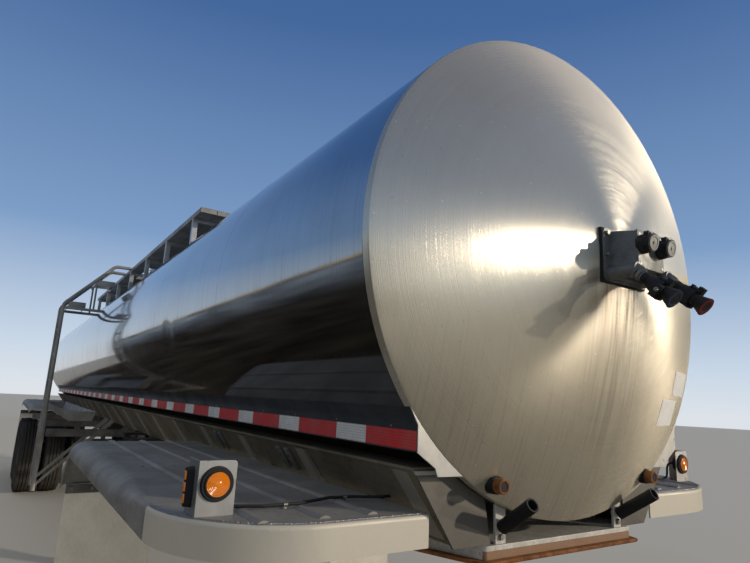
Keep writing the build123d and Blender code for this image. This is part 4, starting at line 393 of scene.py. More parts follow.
@dataclass(frozen=True)
class TurnedHead(Finish):
    """Stainless head brushed in circles with 120 grit: the light gathers in a bow tie across its middle."""

    axis_height: float = TANK_AXIS_Z
    ring_mm: float = 5.0
    ring_depth_mm: float = 0.02
    arc_mm: float = 2500.0
    scratch_mm: float = 1.1
    scratch_depth_mm: float = 0.34
    cloud_mm: float = 384.6
    drip_mm: Triple = (1000.0, 26.32, 454.5)
    run_mm: Triple = (1000.0, 8.333, 250.0)
    grit_mm: float = 29.41
    drop_mm: float = 38.46
    film: str = "#8B8377"
    drip: str = "#5E5346"
    grit: str = "#6B5138"
    drop: str = "#F3EFE4"
    run: str = "#8C8574"

    def pattern(self, tree: Tree, shader: Node, place: Socket) -> None:
        """Adds the brushed rings, a cloudy film, rust specks, dried drops, low runs and the drips below the nose box.

        Args:
            tree: The material's node tree.
            shader: Its surface shader.
            place: Object coordinates in metres.
        """
        turned = add(tree, "Tangent", direction_type="RADIAL", axis="X")
        feed(tree, shader, {"Anisotropic": 1.0, "Anisotropic Rotation": 0.25, "Tangent": turned})
        centred = add(tree, "Mapping", {
            "Vector": place, "Location": (0.0, 0.0, -self.axis_height), "Scale": (0.0, 1.0, 1.0)})
        radius = add(tree, "VectorMath", {0: centred}, operation="LENGTH").outputs["Value"]
        around = add(tree, "VectorMath", {0: centred, "Scale": 1000 / self.arc_mm}, operation="SCALE")
        axes = add(tree, "SeparateXYZ", {0: around})
        brushed = []
        for width_mm, detail, roughness in ((self.ring_mm, 4.0, 0.7), (self.scratch_mm, 1.0, 0.5)):
            spun = add(tree, "CombineXYZ", {
                "X": add(tree, "Math", {0: radius, 1: 1000 / width_mm}, operation="MULTIPLY"),
                "Y": axes.outputs["Y"], "Z": axes.outputs["Z"]})
            brushed.append(add(tree, "TexNoise", {
                "Vector": spun, "Scale": 1.0, "Detail": detail, "Roughness": roughness}))
        rings, scratches = brushed
        streaks = []
        for size_mm, detail in ((self.drip_mm, 4.0), (self.run_mm, 3.0)):
            stretched = add(tree, "Mapping", {"Vector": place, "Scale": [1000 / mm for mm in size_mm]})
            streaks.append(add(tree, "TexNoise", {
                "Vector": stretched, "Scale": 1.0, "Detail": detail, "Roughness": 0.6}))
        drips, runs = streaks
        cloud = add(tree, "TexNoise", {
            "Vector": place, "Scale": 1000 / self.cloud_mm, "Detail": 3.0, "Roughness": 0.5})
        grit, drops = [
            add(tree, "TexVoronoi", {"Vector": place, "Scale": 1000 / mm}).outputs["Distance"]
            for mm in (self.grit_mm, self.drop_mm)]
        across = add(tree, "SeparateXYZ", {0: place})
        height = across.outputs["Z"]
        beside = add(tree, "Math", {0: across.outputs["Y"]}, operation="ABSOLUTE")
        share = {name: add(tree, "MapRange", {
            "Value": value, "From Min": low, "From Max": high, "To Min": first, "To Max": last,
        }) for name, value, low, high, first, last in (
            ("beside", beside, 0.05, 0.2, 1.0, 0.0), ("below", height, 1.5, 2.06, 0.1, 1.0),
            ("above", height, 2.06, 2.09, 1.0, 0.0), ("drip", drips, 0.42, 0.62, 0.0, 0.75),
            ("film", cloud, 0.3, 0.8, 0.0, 0.3), ("grit", grit, 0.03, 0.075, 0.6, 0.0),
            ("drop", drops, 0.03, 0.085, 1.0, 0.0), ("run", runs, 0.5, 0.66, 0.0, 0.22),
            ("low", height, 1.55, 2.0, 1.0, 0.0), ("tone", rings, 0.3, 0.7, 0.96, 1.04),
            ("rough", cloud, 0.2, 0.8, self.roughness, self.roughness + 0.04),
        )}
        stain = add(tree, "Math", {0: across.outputs["X"], 1: 0.0}, operation="GREATER_THAN")
        for name in ("beside", "below", "above", "drip"):
            stain = add(tree, "Math", {0: stain, 1: share[name]}, operation="MULTIPLY")
        thin = add(tree, "Math", {0: share["run"], 1: share["low"]}, operation="MULTIPLY")
        colour = add(tree, "VectorMath", {0: linear(self.base)[:3], "Scale": share["tone"]}, operation="SCALE")
        colour = layered(tree, colour, [
            (share["film"], linear(self.film)), (stain, linear(self.drip)), (share["grit"], linear(self.grit)),
            (share["drop"], linear(self.drop)), (thin, linear(self.run))])
        bump = add(tree, "Bump", {"Height": rings, "Distance": self.ring_depth_mm / 1000, "Strength": 0.3})
        bump = add(tree, "Bump", {
            "Height": scratches, "Distance": self.scratch_depth_mm / 1000, "Strength": 1.0, "Normal": bump})
        feed(tree, shader, {"Base Color": colour, "Roughness": share["rough"], "Normal": bump})


@dataclass(frozen=True)
class ReflectiveSheeting(Finish):
    """Prismatic reflective tape: sealed cells a few millimetres wide show through its clear face."""

    cell_mm: float = 9.0
    seam_mm: float = 0.6
    seam_depth_mm: float = 0.1
    seam: str = "#F0F0F0"
    grime_mm: float = 111.1
    grime: str = "#77706A"

    def pattern(self, tree: Tree, shader: Node, place: Socket) -> None:
        """Adds the sealed cells, seen along the trailer's side.

        Args:
            tree: The material's node tree.
            shader: Its surface shader.
            place: Object coordinates in metres.
        """
        axes = add(tree, "SeparateXYZ", {0: place})
        along = add(tree, "Math", {0: axes.outputs["X"], 1: axes.outputs["Y"]}, operation="ADD")
        flat = add(tree, "CombineXYZ", {"X": along, "Y": axes.outputs["Z"]})
        cells = add(tree, "TexBrick", {
            "Vector": flat, "Color1": linear(self.base), "Color2": linear(self.base),
            "Mortar": linear(self.seam), "Scale": 1.0, "Mortar Size": self.seam_mm / 1000, "Mortar Smooth": 0.4,
            "Brick Width": self.cell_mm / 1000, "Row Height": self.cell_mm / 1000 * 0.87})
        grime = add(tree, "TexNoise", {
            "Vector": place, "Scale": 1000 / self.grime_mm, "Detail": 6.0, "Roughness": 0.7})
        dirty = add(tree, "MapRange", {"Value": grime, "From Min": 0.4, "From Max": 0.75, "To Max": 0.4})
        colour = layered(tree, cells.outputs["Color"], [(dirty, linear(self.grime))])
        bump = add(tree, "Bump", {
            "Height": cells.outputs["Fac"], "Distance": self.seam_depth_mm / 1000, "Strength": 0.5})
        feed(tree, shader, {"Base Color": colour, "Normal": bump})


@dataclass(frozen=True)
class BandedFinish(WornFinish):
    """A worn finish with a second tone laid over part of it, which each kind of band works out."""

    band_tone: str = "#808080"

    def pattern(self, tree: Tree, shader: Node, place: Socket) -> None:
        """Lays the band over the worn surface, so that its dirt still shows through.

        Args:
            tree: The material's node tree.
            shader: Its surface shader.
            place: Object coordinates in metres.
        """
        super().pattern(tree, shader, place)
        worn = shader.inputs["Base Color"].links[0].from_socket
        axes = add(tree, "SeparateXYZ", {0: place})
        feed(tree, shader, {"Base Color": layered(tree, worn, [(self.share(tree, axes), self.tone_of(tree, axes))])})

    def share(self, tree: Tree, axes: Node) -> Node:
        """Works out where the band lies: a node that gives 0 outside it."""
        raise NotImplementedError

    def tone_of(self, tree: Tree, axes: Node) -> Colour:
        """Gives the band's colour, which is plain unless a kind of band has its own."""
        return linear(self.band_tone)


@dataclass(frozen=True)
class RibbedWeb(BandedFinish):
    """Frame web darkened partly by road film and partly by painted shade, with its pale upright stiffeners wiped
    cleaner by the spray.
    """

    first: float = 5.15
    pitch: float = 0.62
    half_width: float = 0.0355
    fade: float = 0.002
    cover: float = 0.5
    low: float = 1.262
    high: float = 1.452

    def share(self, tree: Tree, axes: Node) -> Node:
        """Works out where the stiffeners stand.

        Args:
            tree: The material's node tree.
            axes: Node with the separate object coordinates.

        Returns:
            A node that gives 0 on the web between them.
        """
        offset = add(tree, "Math", {0: axes.outputs["X"], 1: self.first}, operation="SUBTRACT")
        offset = add(tree, "Math", {0: offset, 1: self.pitch / 2, 2: -self.pitch / 2}, operation="WRAP")
        offset = add(tree, "Math", {0: offset}, operation="ABSOLUTE")
        rib = add(tree, "MapRange", {
            "Value": offset, "From Min": self.half_width, "From Max": self.half_width + self.fade,
            "To Min": self.cover, "To Max": 0.0})
        upright = between(tree, axes.outputs["Z"], self.low, self.high)
        return add(tree, "Math", {0: rib, 1: upright}, operation="MULTIPLY")


@dataclass(frozen=True)
class LowBand(BandedFinish):
    """A worn finish with a second tone below one height, from one place forward."""

    top: float = 0.0
    from_x: float = -10.0
    cover: float = 0.85

    def share(self, tree: Tree, axes: Node) -> Node:
        """Works out what lies below the height.

        Args:
            tree: The material's node tree.
            axes: Node with the separate object coordinates.

        Returns:
            A node that gives 0 above it.
        """
        low = add(tree, "Math", {0: axes.outputs["Z"], 1: self.top}, operation="LESS_THAN")
        ahead = add(tree, "Math", {0: axes.outputs["X"], 1: self.from_x}, operation="GREATER_THAN")
        both = add(tree, "Math", {0: low, 1: ahead}, operation="MULTIPLY")
        return add(tree, "Math", {0: both, 1: self.cover}, operation="MULTIPLY")


@dataclass(frozen=True)
class TapedBumper(BandedFinish):
    """Bumper tube with a strip of red and white tape laid along its rear face."""

    white: str = "#C9CDCF"
    rear: float = -6.329
    low: float = 0.475
    high: float = 0.526
    red_length: float = TAPE_RED
    white_length: float = TAPE_WHITE

    def share(self, tree: Tree, axes: Node) -> Node:
        """Works out where the tape lies.

        Args:
            tree: The material's node tree.
            axes: Node with the separate object coordinates.

        Returns:
            A node that gives 0 off the tape.
        """
        behind = add(tree, "Math", {0: axes.outputs["X"], 1: self.rear}, operation="LESS_THAN")
        level = between(tree, axes.outputs["Z"], self.low, self.high)
        return add(tree, "Math", {0: behind, 1: level}, operation="MULTIPLY")

    def tone_of(self, tree: Tree, axes: Node) -> Colour:
        """Gives the tape's red and white lengths.

        Args:
            tree: The material's node tree.
            axes: Node with the separate object coordinates.

        Returns:
            The colour.
        """
        along = add(tree, "Math", {
            0: axes.outputs["Y"], 1: self.red_length + self.white_length, 2: 0.0}, operation="WRAP")
        white = add(tree, "Math", {0: along, 1: self.red_length}, operation="GREATER_THAN")
        return layered(tree, linear(self.band_tone), [(white, linear(self.white))])


@dataclass(frozen=True)
class CoatedWheel(BandedFinish):
    """Powder-coated wheels round a cast hub in black primer."""

    axle_x: float = 0.0
    axle_z: float = AXLE_Z
    hub_radius: float = 0.1
    drum_radius: float = 0.2105
    drum_face_y: float = 0.8975

    def share(self, tree: Tree, axes: Node) -> Node:
        """Works out where the hub and the drum are.

        Args:
            tree: The material's node tree.
            axes: Node with the separate object coordinates.

        Returns:
            A node that gives 0 on the wheels.
        """
        ahead = add(tree, "Math", {0: axes.outputs["X"], 1: self.axle_x}, operation="SUBTRACT")
        above = add(tree, "Math", {0: axes.outputs["Z"], 1: self.axle_z}, operation="SUBTRACT")
        radius = add(tree, "VectorMath", {
            0: add(tree, "CombineXYZ", {"X": ahead, "Y": above})}, operation="LENGTH").outputs["Value"]
        hub = add(tree, "Math", {0: radius, 1: self.hub_radius}, operation="LESS_THAN")
        drum = add(tree, "Math", {0: radius, 1: self.drum_radius}, operation="LESS_THAN")
        away = add(tree, "Math", {0: axes.outputs["Y"]}, operation="ABSOLUTE")
        behind = add(tree, "Math", {0: away, 1: self.drum_face_y}, operation="LESS_THAN")
        drum = add(tree, "Math", {0: drum, 1: behind}, operation="MULTIPLY")
        return add(tree, "Math", {0: hub, 1: drum}, operation="MAXIMUM")


# Cold-rolled stainless sheet, polished with compound: a clear mirror of sky and ground
POLISHED = PolishedJacket("mirror_polished_stainless_sheet", Slot.POLISHED, "#C6C8CB", 1.0, 0.05)
# Spun stainless head, brushed round and round: light in a bow tie, warm where it is filmed
HEAD = TurnedHead("circular_brushed_stainless_head", Slot.BRUSHED, "#DCD5C1", 0.7, 0.2)
# Stainless fittings brushed lengthwise: a soft streak of light along each
BRUSHED = WornFinish(
    "brushed_stainless_fittings", Slot.BRUSHED, "#B7B3AB", 1.0, 0.26, tone="#8E8A82",
    grain_mm=(30.0, 1.5, 1.5), grain_depth_mm=0.02, roughness_high=0.42, dust_on_top=0.25)
# Mill-finish aluminium sheet: rolling lines along its length and a thin white oxide
SHEET_WEAR = dict(
    tone="#9C9A93", patch_mm=120.0, grain_mm=(3.0, 40.0, 40.0), grain_depth_mm=0.03, grain_tone=0.08,
    dust_on_top=0.3, speck_mm=60.0)
BRIGHT = WornFinish(
    "mill_finish_aluminium_sheet", Slot.BRIGHT, "#C3C2BD", 0.85, 0.34, roughness_high=0.55, **SHEET_WEAR)
# Weathered aluminium tread deck: matt oxide with water marks and dust in the corners
DECK_WEAR = dict(
    tone="#77756F", dust="#98938A", patch_mm=260.0, patch_share=0.85, grain_mm=(9.0, 9.0, 9.0),
    grain_depth_mm=0.15, grain_tone=0.14, roughness_high=0.66, dust_on_top=0.42, speck_mm=45.0)
DECK = WornFinish("weathered_aluminium_deck", Slot.GREY, "#A3A19B", 0.3, 0.46, **DECK_WEAR)
# The same deck on the front fenders, with a painted highlight: a paler lip round the front corner, where sunlight
# falls on it
FENDER = LowBand(
    "aluminium_deck_with_painted_sunlit_lip", Slot.GREY, "#A3A19B", 0.3, 0.46, **DECK_WEAR,
    # The band's pale tone is painted sunlight on the lip
    band_tone="#D6D0C0", top=1.342, from_x=5.48)
# The same sheet on the end plates, darker on their gussets below: partly dirt and partly painted shade
PLATE = LowBand(
    "aluminium_plate_dirt_and_painted_shade_below", Slot.BRIGHT, "#C3C2BD", 0.6, 0.38, roughness_high=0.6, **SHEET_WEAR,
    # The band's dark tone is dirt and painted shade on the gussets
    band_tone="#57534A", top=1.449)
# The coupler's nose and the posts on it: pale, but rusty below the nose's wiped upper edge
PAN = LowBand(
    "pale_aluminium_rust_stained", Slot.BRIGHT, "#D2D0C9", 0.25, 0.45, tone="#A5A196", patch_mm=120.0,
    grain_mm=(9.0, 9.0, 9.0), grain_depth_mm=0.1, roughness_high=0.7, dust_on_top=0.3, speck_mm=30.0,
    band_tone="#8A5F36", top=1.236, from_x=5.86)
# Extruded and bent aluminium frame sections, dulled by road film
FRAME = WornFinish(
    "road_dulled_aluminium_frame", Slot.FRAME, "#85827B", 0.5, 0.5, tone="#55524C", dust="#6F695D",
    patch_mm=200.0, patch_share=0.8, grain_mm=(12.0, 12.0, 12.0), grain_depth_mm=0.12,
    roughness_high=0.78, dust_on_top=0.5, speck_mm=38.0)
# The frame's webs behind the fenders, browned partly by road film and partly by painted shade, between paler
# stiffeners
WEB = RibbedWeb(
    "filmed_aluminium_web_with_painted_shade", Slot.FRAME, "#7B725F", 0.25, 0.55, tone="#595140", dust="#6D6553",
    patch_mm=240.0, patch_share=0.85, grain_mm=(12.0, 12.0, 12.0), grain_depth_mm=0.12,
    roughness_high=0.8, dust_on_top=0.5, speck_mm=38.0, band_tone="#A8A49A")
# Square steel bumper tube, painted grey, with tape on its rear face
BUMPER = TapedBumper(
    "grey_painted_bumper_tube", Slot.FRAME, "#6E6D69", 0.1, 0.5, tone="#504E49", dust="#6F695D",
    patch_mm=150.0, patch_share=0.7, grain_mm=(9.0, 9.0, 9.0), grain_depth_mm=0.1, roughness_high=0.72,
    dust_on_top=0.45, splash_height=1.2, splash=0.35, speck_mm=30.0, band_tone="#B11A1C")
# Bent aluminium rail in dark satin paint: one dull streak of light along each fold
RAIL = WornFinish(
    "dark_painted_side_rail", Slot.RAIL, "#3B3E41", 0.35, 0.36, tone="#2A2C2E", dust="#6C675E",
    patch_mm=150.0, grain_mm=(60.0, 5.0, 5.0), grain_depth_mm=0.03, roughness_high=0.55, dust_on_top=0.4)
# Hot-rolled steel left bare: orange scale with darker pits
RUST = WornFinish(
    "rusted_hot_rolled_steel", Slot.RUST, "#995F2F", 0.1, 0.78, tone="#5B381D", dust="#B58850",
    patch_mm=42.0, patch_share=1.0, grain_mm=(5.0, 5.0, 5.0), grain_depth_mm=0.7, grain_tone=0.3,
    roughness_high=0.95, dust_on_top=0.25, speck_mm=16.0)
# Black chassis enamel over steel, chalky with road dust
BLACK = WornFinish(
    "black_chassis_enamel", Slot.BLACK, "#1D1E1F", 0.0, 0.42, tone="#2F2D2A", dust="#6A6357",
    patch_mm=110.0, grain_mm=(7.0, 7.0, 7.0), grain_depth_mm=0.1, roughness_high=0.66,
    dust_on_top=0.55, splash_height=1.3, splash=0.45)
# Sand-cast iron, painted black: a pebbled skin that breaks its glints up
CAST = WornFinish(
    "black_sand_cast_metal", Slot.CAST, "#232424", 0.3, 0.48, tone="#3A3835", dust="#6E685E",
    patch_mm=34.0, grain_mm=(2.4, 2.4, 2.4), grain_depth_mm=0.22, roughness_high=0.66, dust_on_top=0.35)
# Die-cast aluminium housing, unpainted: an even satin grey with a fine grain
CASTING = WornFinish(
    "die_cast_aluminium", Slot.CASTING, "#8C8D8A", 0.7, 0.42, tone="#66665F",
    patch_mm=50.0, grain_mm=(2.0, 2.0, 2.0), grain_depth_mm=0.08, roughness_high=0.62, dust_on_top=0.3)
# Moulded black rubber: matt, paler with dust where it faces up
RUBBER = WornFinish(
    "moulded_black_rubber", Slot.RUBBER, "#171717", 0.0, 0.62, tone="#26241F", dust="#5E584C",
    patch_mm=70.0, grain_mm=(3.0, 3.0, 3.0), grain_depth_mm=0.1, roughness_high=0.82, dust_on_top=0.35,
    splash_height=1.2, splash=0.35)
# Cured tyre rubber: the deepest black, browned by dried mud near the ground
TYRE = WornFinish(
    "cured_tread_rubber", Slot.TYRE, "#1E1E1F", 0.0, 0.72, tone="#34312C", dust="#6A6152",
    patch_mm=95.0, patch_share=0.7, grain_mm=(4.0, 4.0, 4.0), grain_depth_mm=0.25, roughness_high=0.9,
    dust_on_top=0.15, splash_height=1.1, splash=0.45)
# White powder-coated steel wheel, filmed with brake and road dust
WHEELS = {axle_x: CoatedWheel(
    f"white_powder_coated_steel_{index}", Slot.WHEEL, "#C9C8C3", 0.0, 0.4, tone="#99948A", dust="#7B7061",
    patch_mm=85.0, patch_share=0.7, grain_mm=(6.0, 6.0, 6.0), grain_depth_mm=0.05, roughness_high=0.6,
    dust_on_top=0.25, splash_height=1.1, splash=0.5, speck_mm=24.0, band_tone="#2B2927", axle_x=axle_x)
    for index, axle_x in enumerate(AXLE_XS)}
# White polyethylene sheet, filmed with mud
FLAP = WornFinish(
    "white_polyethylene_sheet", Slot.FLAP, "#E6E2D4", 0.0, 0.45, tone="#D2CCBC", dust="#A39B88",
    patch_mm=130.0, grain_mm=(5.0, 5.0, 30.0), grain_depth_mm=0.06, grain_tone=0.06, roughness_high=0.66,
    dust_on_top=0.1, splash_height=0.9, splash=0.3)
# Moulded acrylic lenses: deep colour under a clear, glossy skin
AMBER = Finish("amber_acrylic_lens", Slot.AMBER, "#F28A12", 0.0, 0.16, coat=0.8)
RED = Finish("red_acrylic_lens", Slot.RED, "#A31414", 0.0, 0.16, coat=0.8)
# Prismatic tape: bright colour crossed by darker seams, its cells drawn coarse enough to show
RED_TAPE = ReflectiveSheeting("red_prismatic_tape", Slot.RED, "#D0121A", 0.0, 0.5, coat=0.1, seam="#7C0C12")
WHITE_TAPE = ReflectiveSheeting("white_prismatic_tape", Slot.FLAP, "#DCDFE0", 0.0, 0.5, coat=0.1, seam="#969B9F")
# Blank white vinyl, a little yellowed
VINYL = WornFinish(
    "blank_white_vinyl", Slot.FLAP, "#FAFAF6", 0.0, 0.5, tone="#EFEDE6", patch_mm=40.0,
    grain_depth_mm=0.01, grain_tone=0.03, roughness_high=0.5, dust_on_top=0.0)
# Zinc-plated steel fasteners, dulled: small grey glints
ZINC = WornFinish(
    "zinc_plated_steel", Slot.BRIGHT, "#A6A39A", 0.9, 0.35, tone="#7D7669", patch_mm=12.0,
    grain_mm=(2.0, 2.0, 2.0), grain_depth_mm=0.03, roughness_high=0.55, dust_on_top=0.3)
# Moulded polyurethane seals: smooth colour with a soft sheen
BLUE_SEAL = Finish("blue_polyurethane_seal", Slot.RUBBER, "#1D3148", 0.0, 0.5)
RED_SEAL = Finish("maroon_polyurethane_seal", Slot.RUBBER, "#651A1D", 0.0, 0.5)


def turned_to(centre: Point, axis: Point) -> Matrix:
    """Places a shape drawn about +Z at a point and along an axis.

    Args:
        centre: Where the shape's origin goes, in metres.
        axis: Direction its +Z turns to.

    Returns:
        The placing matrix.
    """
    direction = Vector(axis).normalized()
    turn = direction.to_track_quat("Z", "Y").to_matrix().to_4x4()
    return Matrix.Translation(Vector(centre)) @ turn


def spread(count: int, radius: float, start: float = 0.0) -> list[Pair]:
    """Spreads places evenly round a circle.

    Args:
        count: Number of places.
        radius: Radius of the circle.
        start: Share of a step by which the first place is turned.

    Returns:
        Each place's distance along the circle's two axes.
    """
    angles = [tau * (index + start) / count for index in range(count)]
    return [(radius * cos(angle), radius * sin(angle)) for angle in angles]


def ringed(count: int, first: float, pitch: float, depth: float, top: float, reach: float) -> list[Pair]:
    """Works out the rings that are moulded into a lamp's domed lens.

    Args:
        count: Number of rings.
        first: Radius of the first ring.
        pitch: Distance from ring to ring.
        depth: Depth of each ring.
        top: Height of the dome at its middle.
        reach: Radius at which the dome has dropped by 4 mm.

    Returns:
        Points (radius, height), from the first ring outwards.
    """
    points = []
    for index in range(count):
        radius = first + index * pitch
        rise = top - (radius / reach) ** 2 * 0.004
        points += [(radius, rise - depth), (radius + pitch / 2, rise)]
    return points


def rounded(part: bmesh.types.BMesh, edges: list[bmesh.types.BMEdge], width: float, clamp: bool = False) -> None:
    """Eases edges with a narrow round of two steps.

    Args:
        part: The mesh in the making.
        edges: Its edges that are eased.
        width: Width of the round, or 0 for none.
        clamp: True to stop the round where it would meet its neighbour.
    """
    if width:
        bmesh.ops.bevel(
            part, geom=edges, offset=width, segments=2, profile=0.5, affect="EDGES", clamp_overlap=clamp,
            material=-1)


def baked(name: str, part: bmesh.types.BMesh) -> bpy.types.Mesh:
    """Turns a shape into mesh data.

    Args:
        name: Name of the mesh.
        part: The shape, which is freed.

    Returns:
        The mesh.
    """
    mesh = bpy.data.meshes.new(name)
    part.to_mesh(mesh)
    part.free()
    return mesh


def linked(name: str, data: bpy.types.ID) -> bpy.types.Object:
    """Makes an object and puts it in the scene.

    Args:
        name: Its name.
        data: Its mesh, lamp or camera.

    Returns:
        The object.
    """
    made = bpy.data.objects.new(name, data)
    bpy.context.scene.collection.objects.link(made)
    return made


class Piece:
    """A mesh piece in the making. Its shapes are placed in metres in the trailer's frame."""

    def __init__(self, name: str) -> None:
        """Starts an empty piece with the name of the finished object."""
        self.name = name
        self.bm = bmesh.new()

    def join(self, part: bmesh.types.BMesh, place: Matrix) -> None:
        """Moves a finished shape into the piece.

        Args:
            part: The shape, which is freed.
            place: Matrix that puts it where it belongs.
        """
        bmesh.ops.remove_doubles(part, verts=part.verts, dist=1e-6)
        bmesh.ops.recalc_face_normals(part, faces=part.faces)
        bmesh.ops.transform(part, matrix=place, verts=part.verts)
        if place.determinant() < 0:
            bmesh.ops.reverse_faces(part, faces=part.faces)
        held = baked("held", part)
        self.bm.from_mesh(held)
        bpy.data.meshes.remove(held)

    def block(self, centre: Point, size: Point, bevel: float = 0.0, turn: Union[Matrix, None] = None) -> None:
        """Adds a block with eased edges.

        Args:
            centre: Its middle.
            size: Its length along each axis.
            bevel: Width of the eased edges.
            turn: Optional rotation about its middle.
        """
        part = bmesh.new()
        bmesh.ops.create_cube(part, size=1.0, matrix=Matrix.Diagonal((*size, 1.0)))
        rounded(part, part.edges[:], bevel)
        self.join(part, Matrix.Translation(Vector(centre)) @ (turn or Matrix.Identity(4)))

    def rod(self, centre: Point, axis: Point, radius: float, length: float, sides: int = 32,
            tip: Union[float, None] = None, bevel: float = 0.0) -> None:
        """Adds a round or many-sided rod that starts at a point and runs along an axis.

        Args:
            centre: Middle of its first end.
            axis: Direction it runs in.
            radius: Radius at its first end.
            length: Its length.
            sides: Number of flats round it.
            tip: Radius at its far end, or None for the same.
            bevel: Width of the eased end edges.
        """
        part = bmesh.new()
        bmesh.ops.create_cone(
            part, cap_ends=True, cap_tris=False, segments=sides, radius1=radius,
            radius2=radius if tip is None else tip, depth=length, matrix=Matrix.Translation((0, 0, length / 2)))
        if bevel:
            rims = [edge for edge in part.edges if any(len(face.verts) == sides for face in edge.link_faces)]
            rounded(part, rims, bevel)
        self.join(part, turned_to(centre, axis))

    def turned(self, profile: Profile, centre: Point, axis: Point, steps: int = 48) -> None:
        """Adds a shape turned about an axis.

        Args:
            profile: Points (radius, distance along the axis), from one end to the other.
            centre: Where the axis starts.
            axis: Direction of the axis.
            steps: Number of steps round it.
        """
        part = bmesh.new()
        closed = tuple(profile[0]) == tuple(profile[-1])
        points = profile[:-1] if closed else profile
        made = [part.verts.new((radius, 0.0, along)) for radius, along in points]
        pairs = list(zip(made, made[1:])) + ([(made[-1], made[0])] if closed else [])
        edges = [part.edges.new(pair) for pair in pairs]
        bmesh.ops.spin(
            part, geom=made + edges, cent=(0, 0, 0), axis=UP, dvec=(0, 0, 0),
            angle=tau, steps=steps, use_merge=True, use_duplicate=False)
        self.join(part, turned_to(centre, axis))

    def bolt(self, centre: Point, axis: Point, across: float = 0.019, height: float = 0.008) -> None:
        """Adds a hexagon head on its washer.

        Args:
            centre: Middle of the washer's seat.
            axis: Direction the head points in.
            across: Width of the head across its flats.
            height: Height of the head.
        """
        washer = across * 0.12
        seat = Vector(centre) + Vector(axis).normalized() * washer
        corner = across / 2 / cos(pi / 6)
        self.rod(centre, axis, across * 0.62, washer, sides=18)
        self.rod(seat, axis, corner, height, sides=6, tip=across * 0.54)

    def pipe(self, points: Sequence[Point], radius: float, sides: int = 4, smooth: bool = True) -> None:
        """Adds a round pipe or wire along a line of points.

        Args:
            points: Corners of its route.
            radius: Its radius.
            sides: Resolution of its round, as Blender's bevel resolution.
            smooth: True for a flowing line, False for straight runs.
        """
        curve = bpy.data.curves.new("route", "CURVE")
        curve.dimensions = "3D"
        spline = curve.splines.new("NURBS" if smooth else "POLY")
        spline.points.add(len(points) - 1)
        for held, point in zip(spline.points, points):
            held.co = (*point, 1.0)
        if smooth:
            spline.order_u = 3
            spline.use_endpoint_u = True
            spline.resolution_u = 8
        curve.bevel_depth = radius
        curve.bevel_resolution = sides
        curve.use_fill_caps = True
        holder = bpy.data.objects.new("route", curve)
        made = bpy.data.meshes.new_from_object(holder)
        self.bm.from_mesh(made)
        bpy.data.objects.remove(holder)
        bpy.data.curves.remove(curve)
        bpy.data.meshes.remove(made)

    def done(self, finish: Finish, body: Body = Body.TRAILER, sharp: float = 32.0,
             weighted: bool = False) -> bpy.types.Object:
        """Turns the piece into an object that rides on a body.

        Args:
            finish: The finish it is dressed in.
            body: The body it rides on.
            sharp: Angle in degrees above which an edge stays crisp.
            weighted: True to keep large flats flat beside their eased edges.

        Returns:
            The finished object.
        """
        mesh = baked(self.name, self.bm)
        mesh.shade_smooth()
        mesh.set_sharp_from_angle(angle=radians(sharp))
        mesh.materials.append(finish.material())
        made = linked(self.name, mesh)
        if weighted:
            flats = made.modifiers.new("flats", "WEIGHTED_NORMAL")
            flats.keep_sharp = True
            flats.weight = 100
        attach(made, body.value)
        LOG.info("%s: %d faces, %s", self.name, len(mesh.polygons), finish.name)
        return made


def body_of(node: str) -> Body:
    """Finds the body that carries a CAD node.

    Args:
        node: The node's name.

    Returns:
        Its body.
    """
    return next(body for body in Body if frame["nodes"][node]["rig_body"] == body.value)


def worked(node: str, finish: Finish, ease: float = 0.0012, sharp: float = 32.0) -> bpy.types.Object:
    """Gives a CAD node eased edges and smooth curves, in a merged copy that stands for it.

    Args:
        node: The node's name.
        finish: The finish it is dressed in.
        ease: Width of the eased edges in metres, or 0 for none.
        sharp: Angle in degrees above which an edge counts as an edge.

    Returns:
        The copy, which replaces the node.
    """
    piece = Piece(node + "_dressed")
    piece.bm.from_mesh(frame["nodes"][node].data)
    bmesh.ops.remove_doubles(piece.bm, verts=piece.bm.verts, dist=2e-5)
    bmesh.ops.dissolve_limit(
        piece.bm, angle_limit=radians(0.4), use_dissolve_boundaries=False,
        verts=piece.bm.verts, edges=piece.bm.edges, delimit={"NORMAL"})
    crisp = [edge for edge in piece.bm.edges if edge.is_manifold and edge.calc_face_angle() > radians(sharp)]
    rounded(piece.bm, crisp, ease, clamp=True)
    made = piece.done(finish, body_of(node), sharp=sharp, weighted=True)
    dress(node, finish)
    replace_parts(made, node)
    return made


def dress(node: str, finish: Finish) -> None:
    """Gives a CAD node its finish.

    Args:
        node: The node's name.
        finish: The finish.
    """
    held = frame["nodes"][node].data.materials
    held.clear()
    held.append(finish.material())


def carve(target: bpy.types.Object, cutter: Piece) -> None:
    """Cuts a shape out of a finished piece.

    Args:
        target: The piece that is cut.
        cutter: The shape that is taken out of it.
    """
    tool = linked("cutter", baked("cutter", cutter.bm))
    cut = target.modifiers.new("cut", "BOOLEAN")
    cut.operation, cut.object, cut.solver = "DIFFERENCE", tool, "EXACT"
    graph = bpy.context.evaluated_depsgraph_get()
    made = bpy.data.meshes.new_from_object(target.evaluated_get(graph))
    target.modifiers.remove(cut)
    target.data = made
    bpy.data.objects.remove(tool)


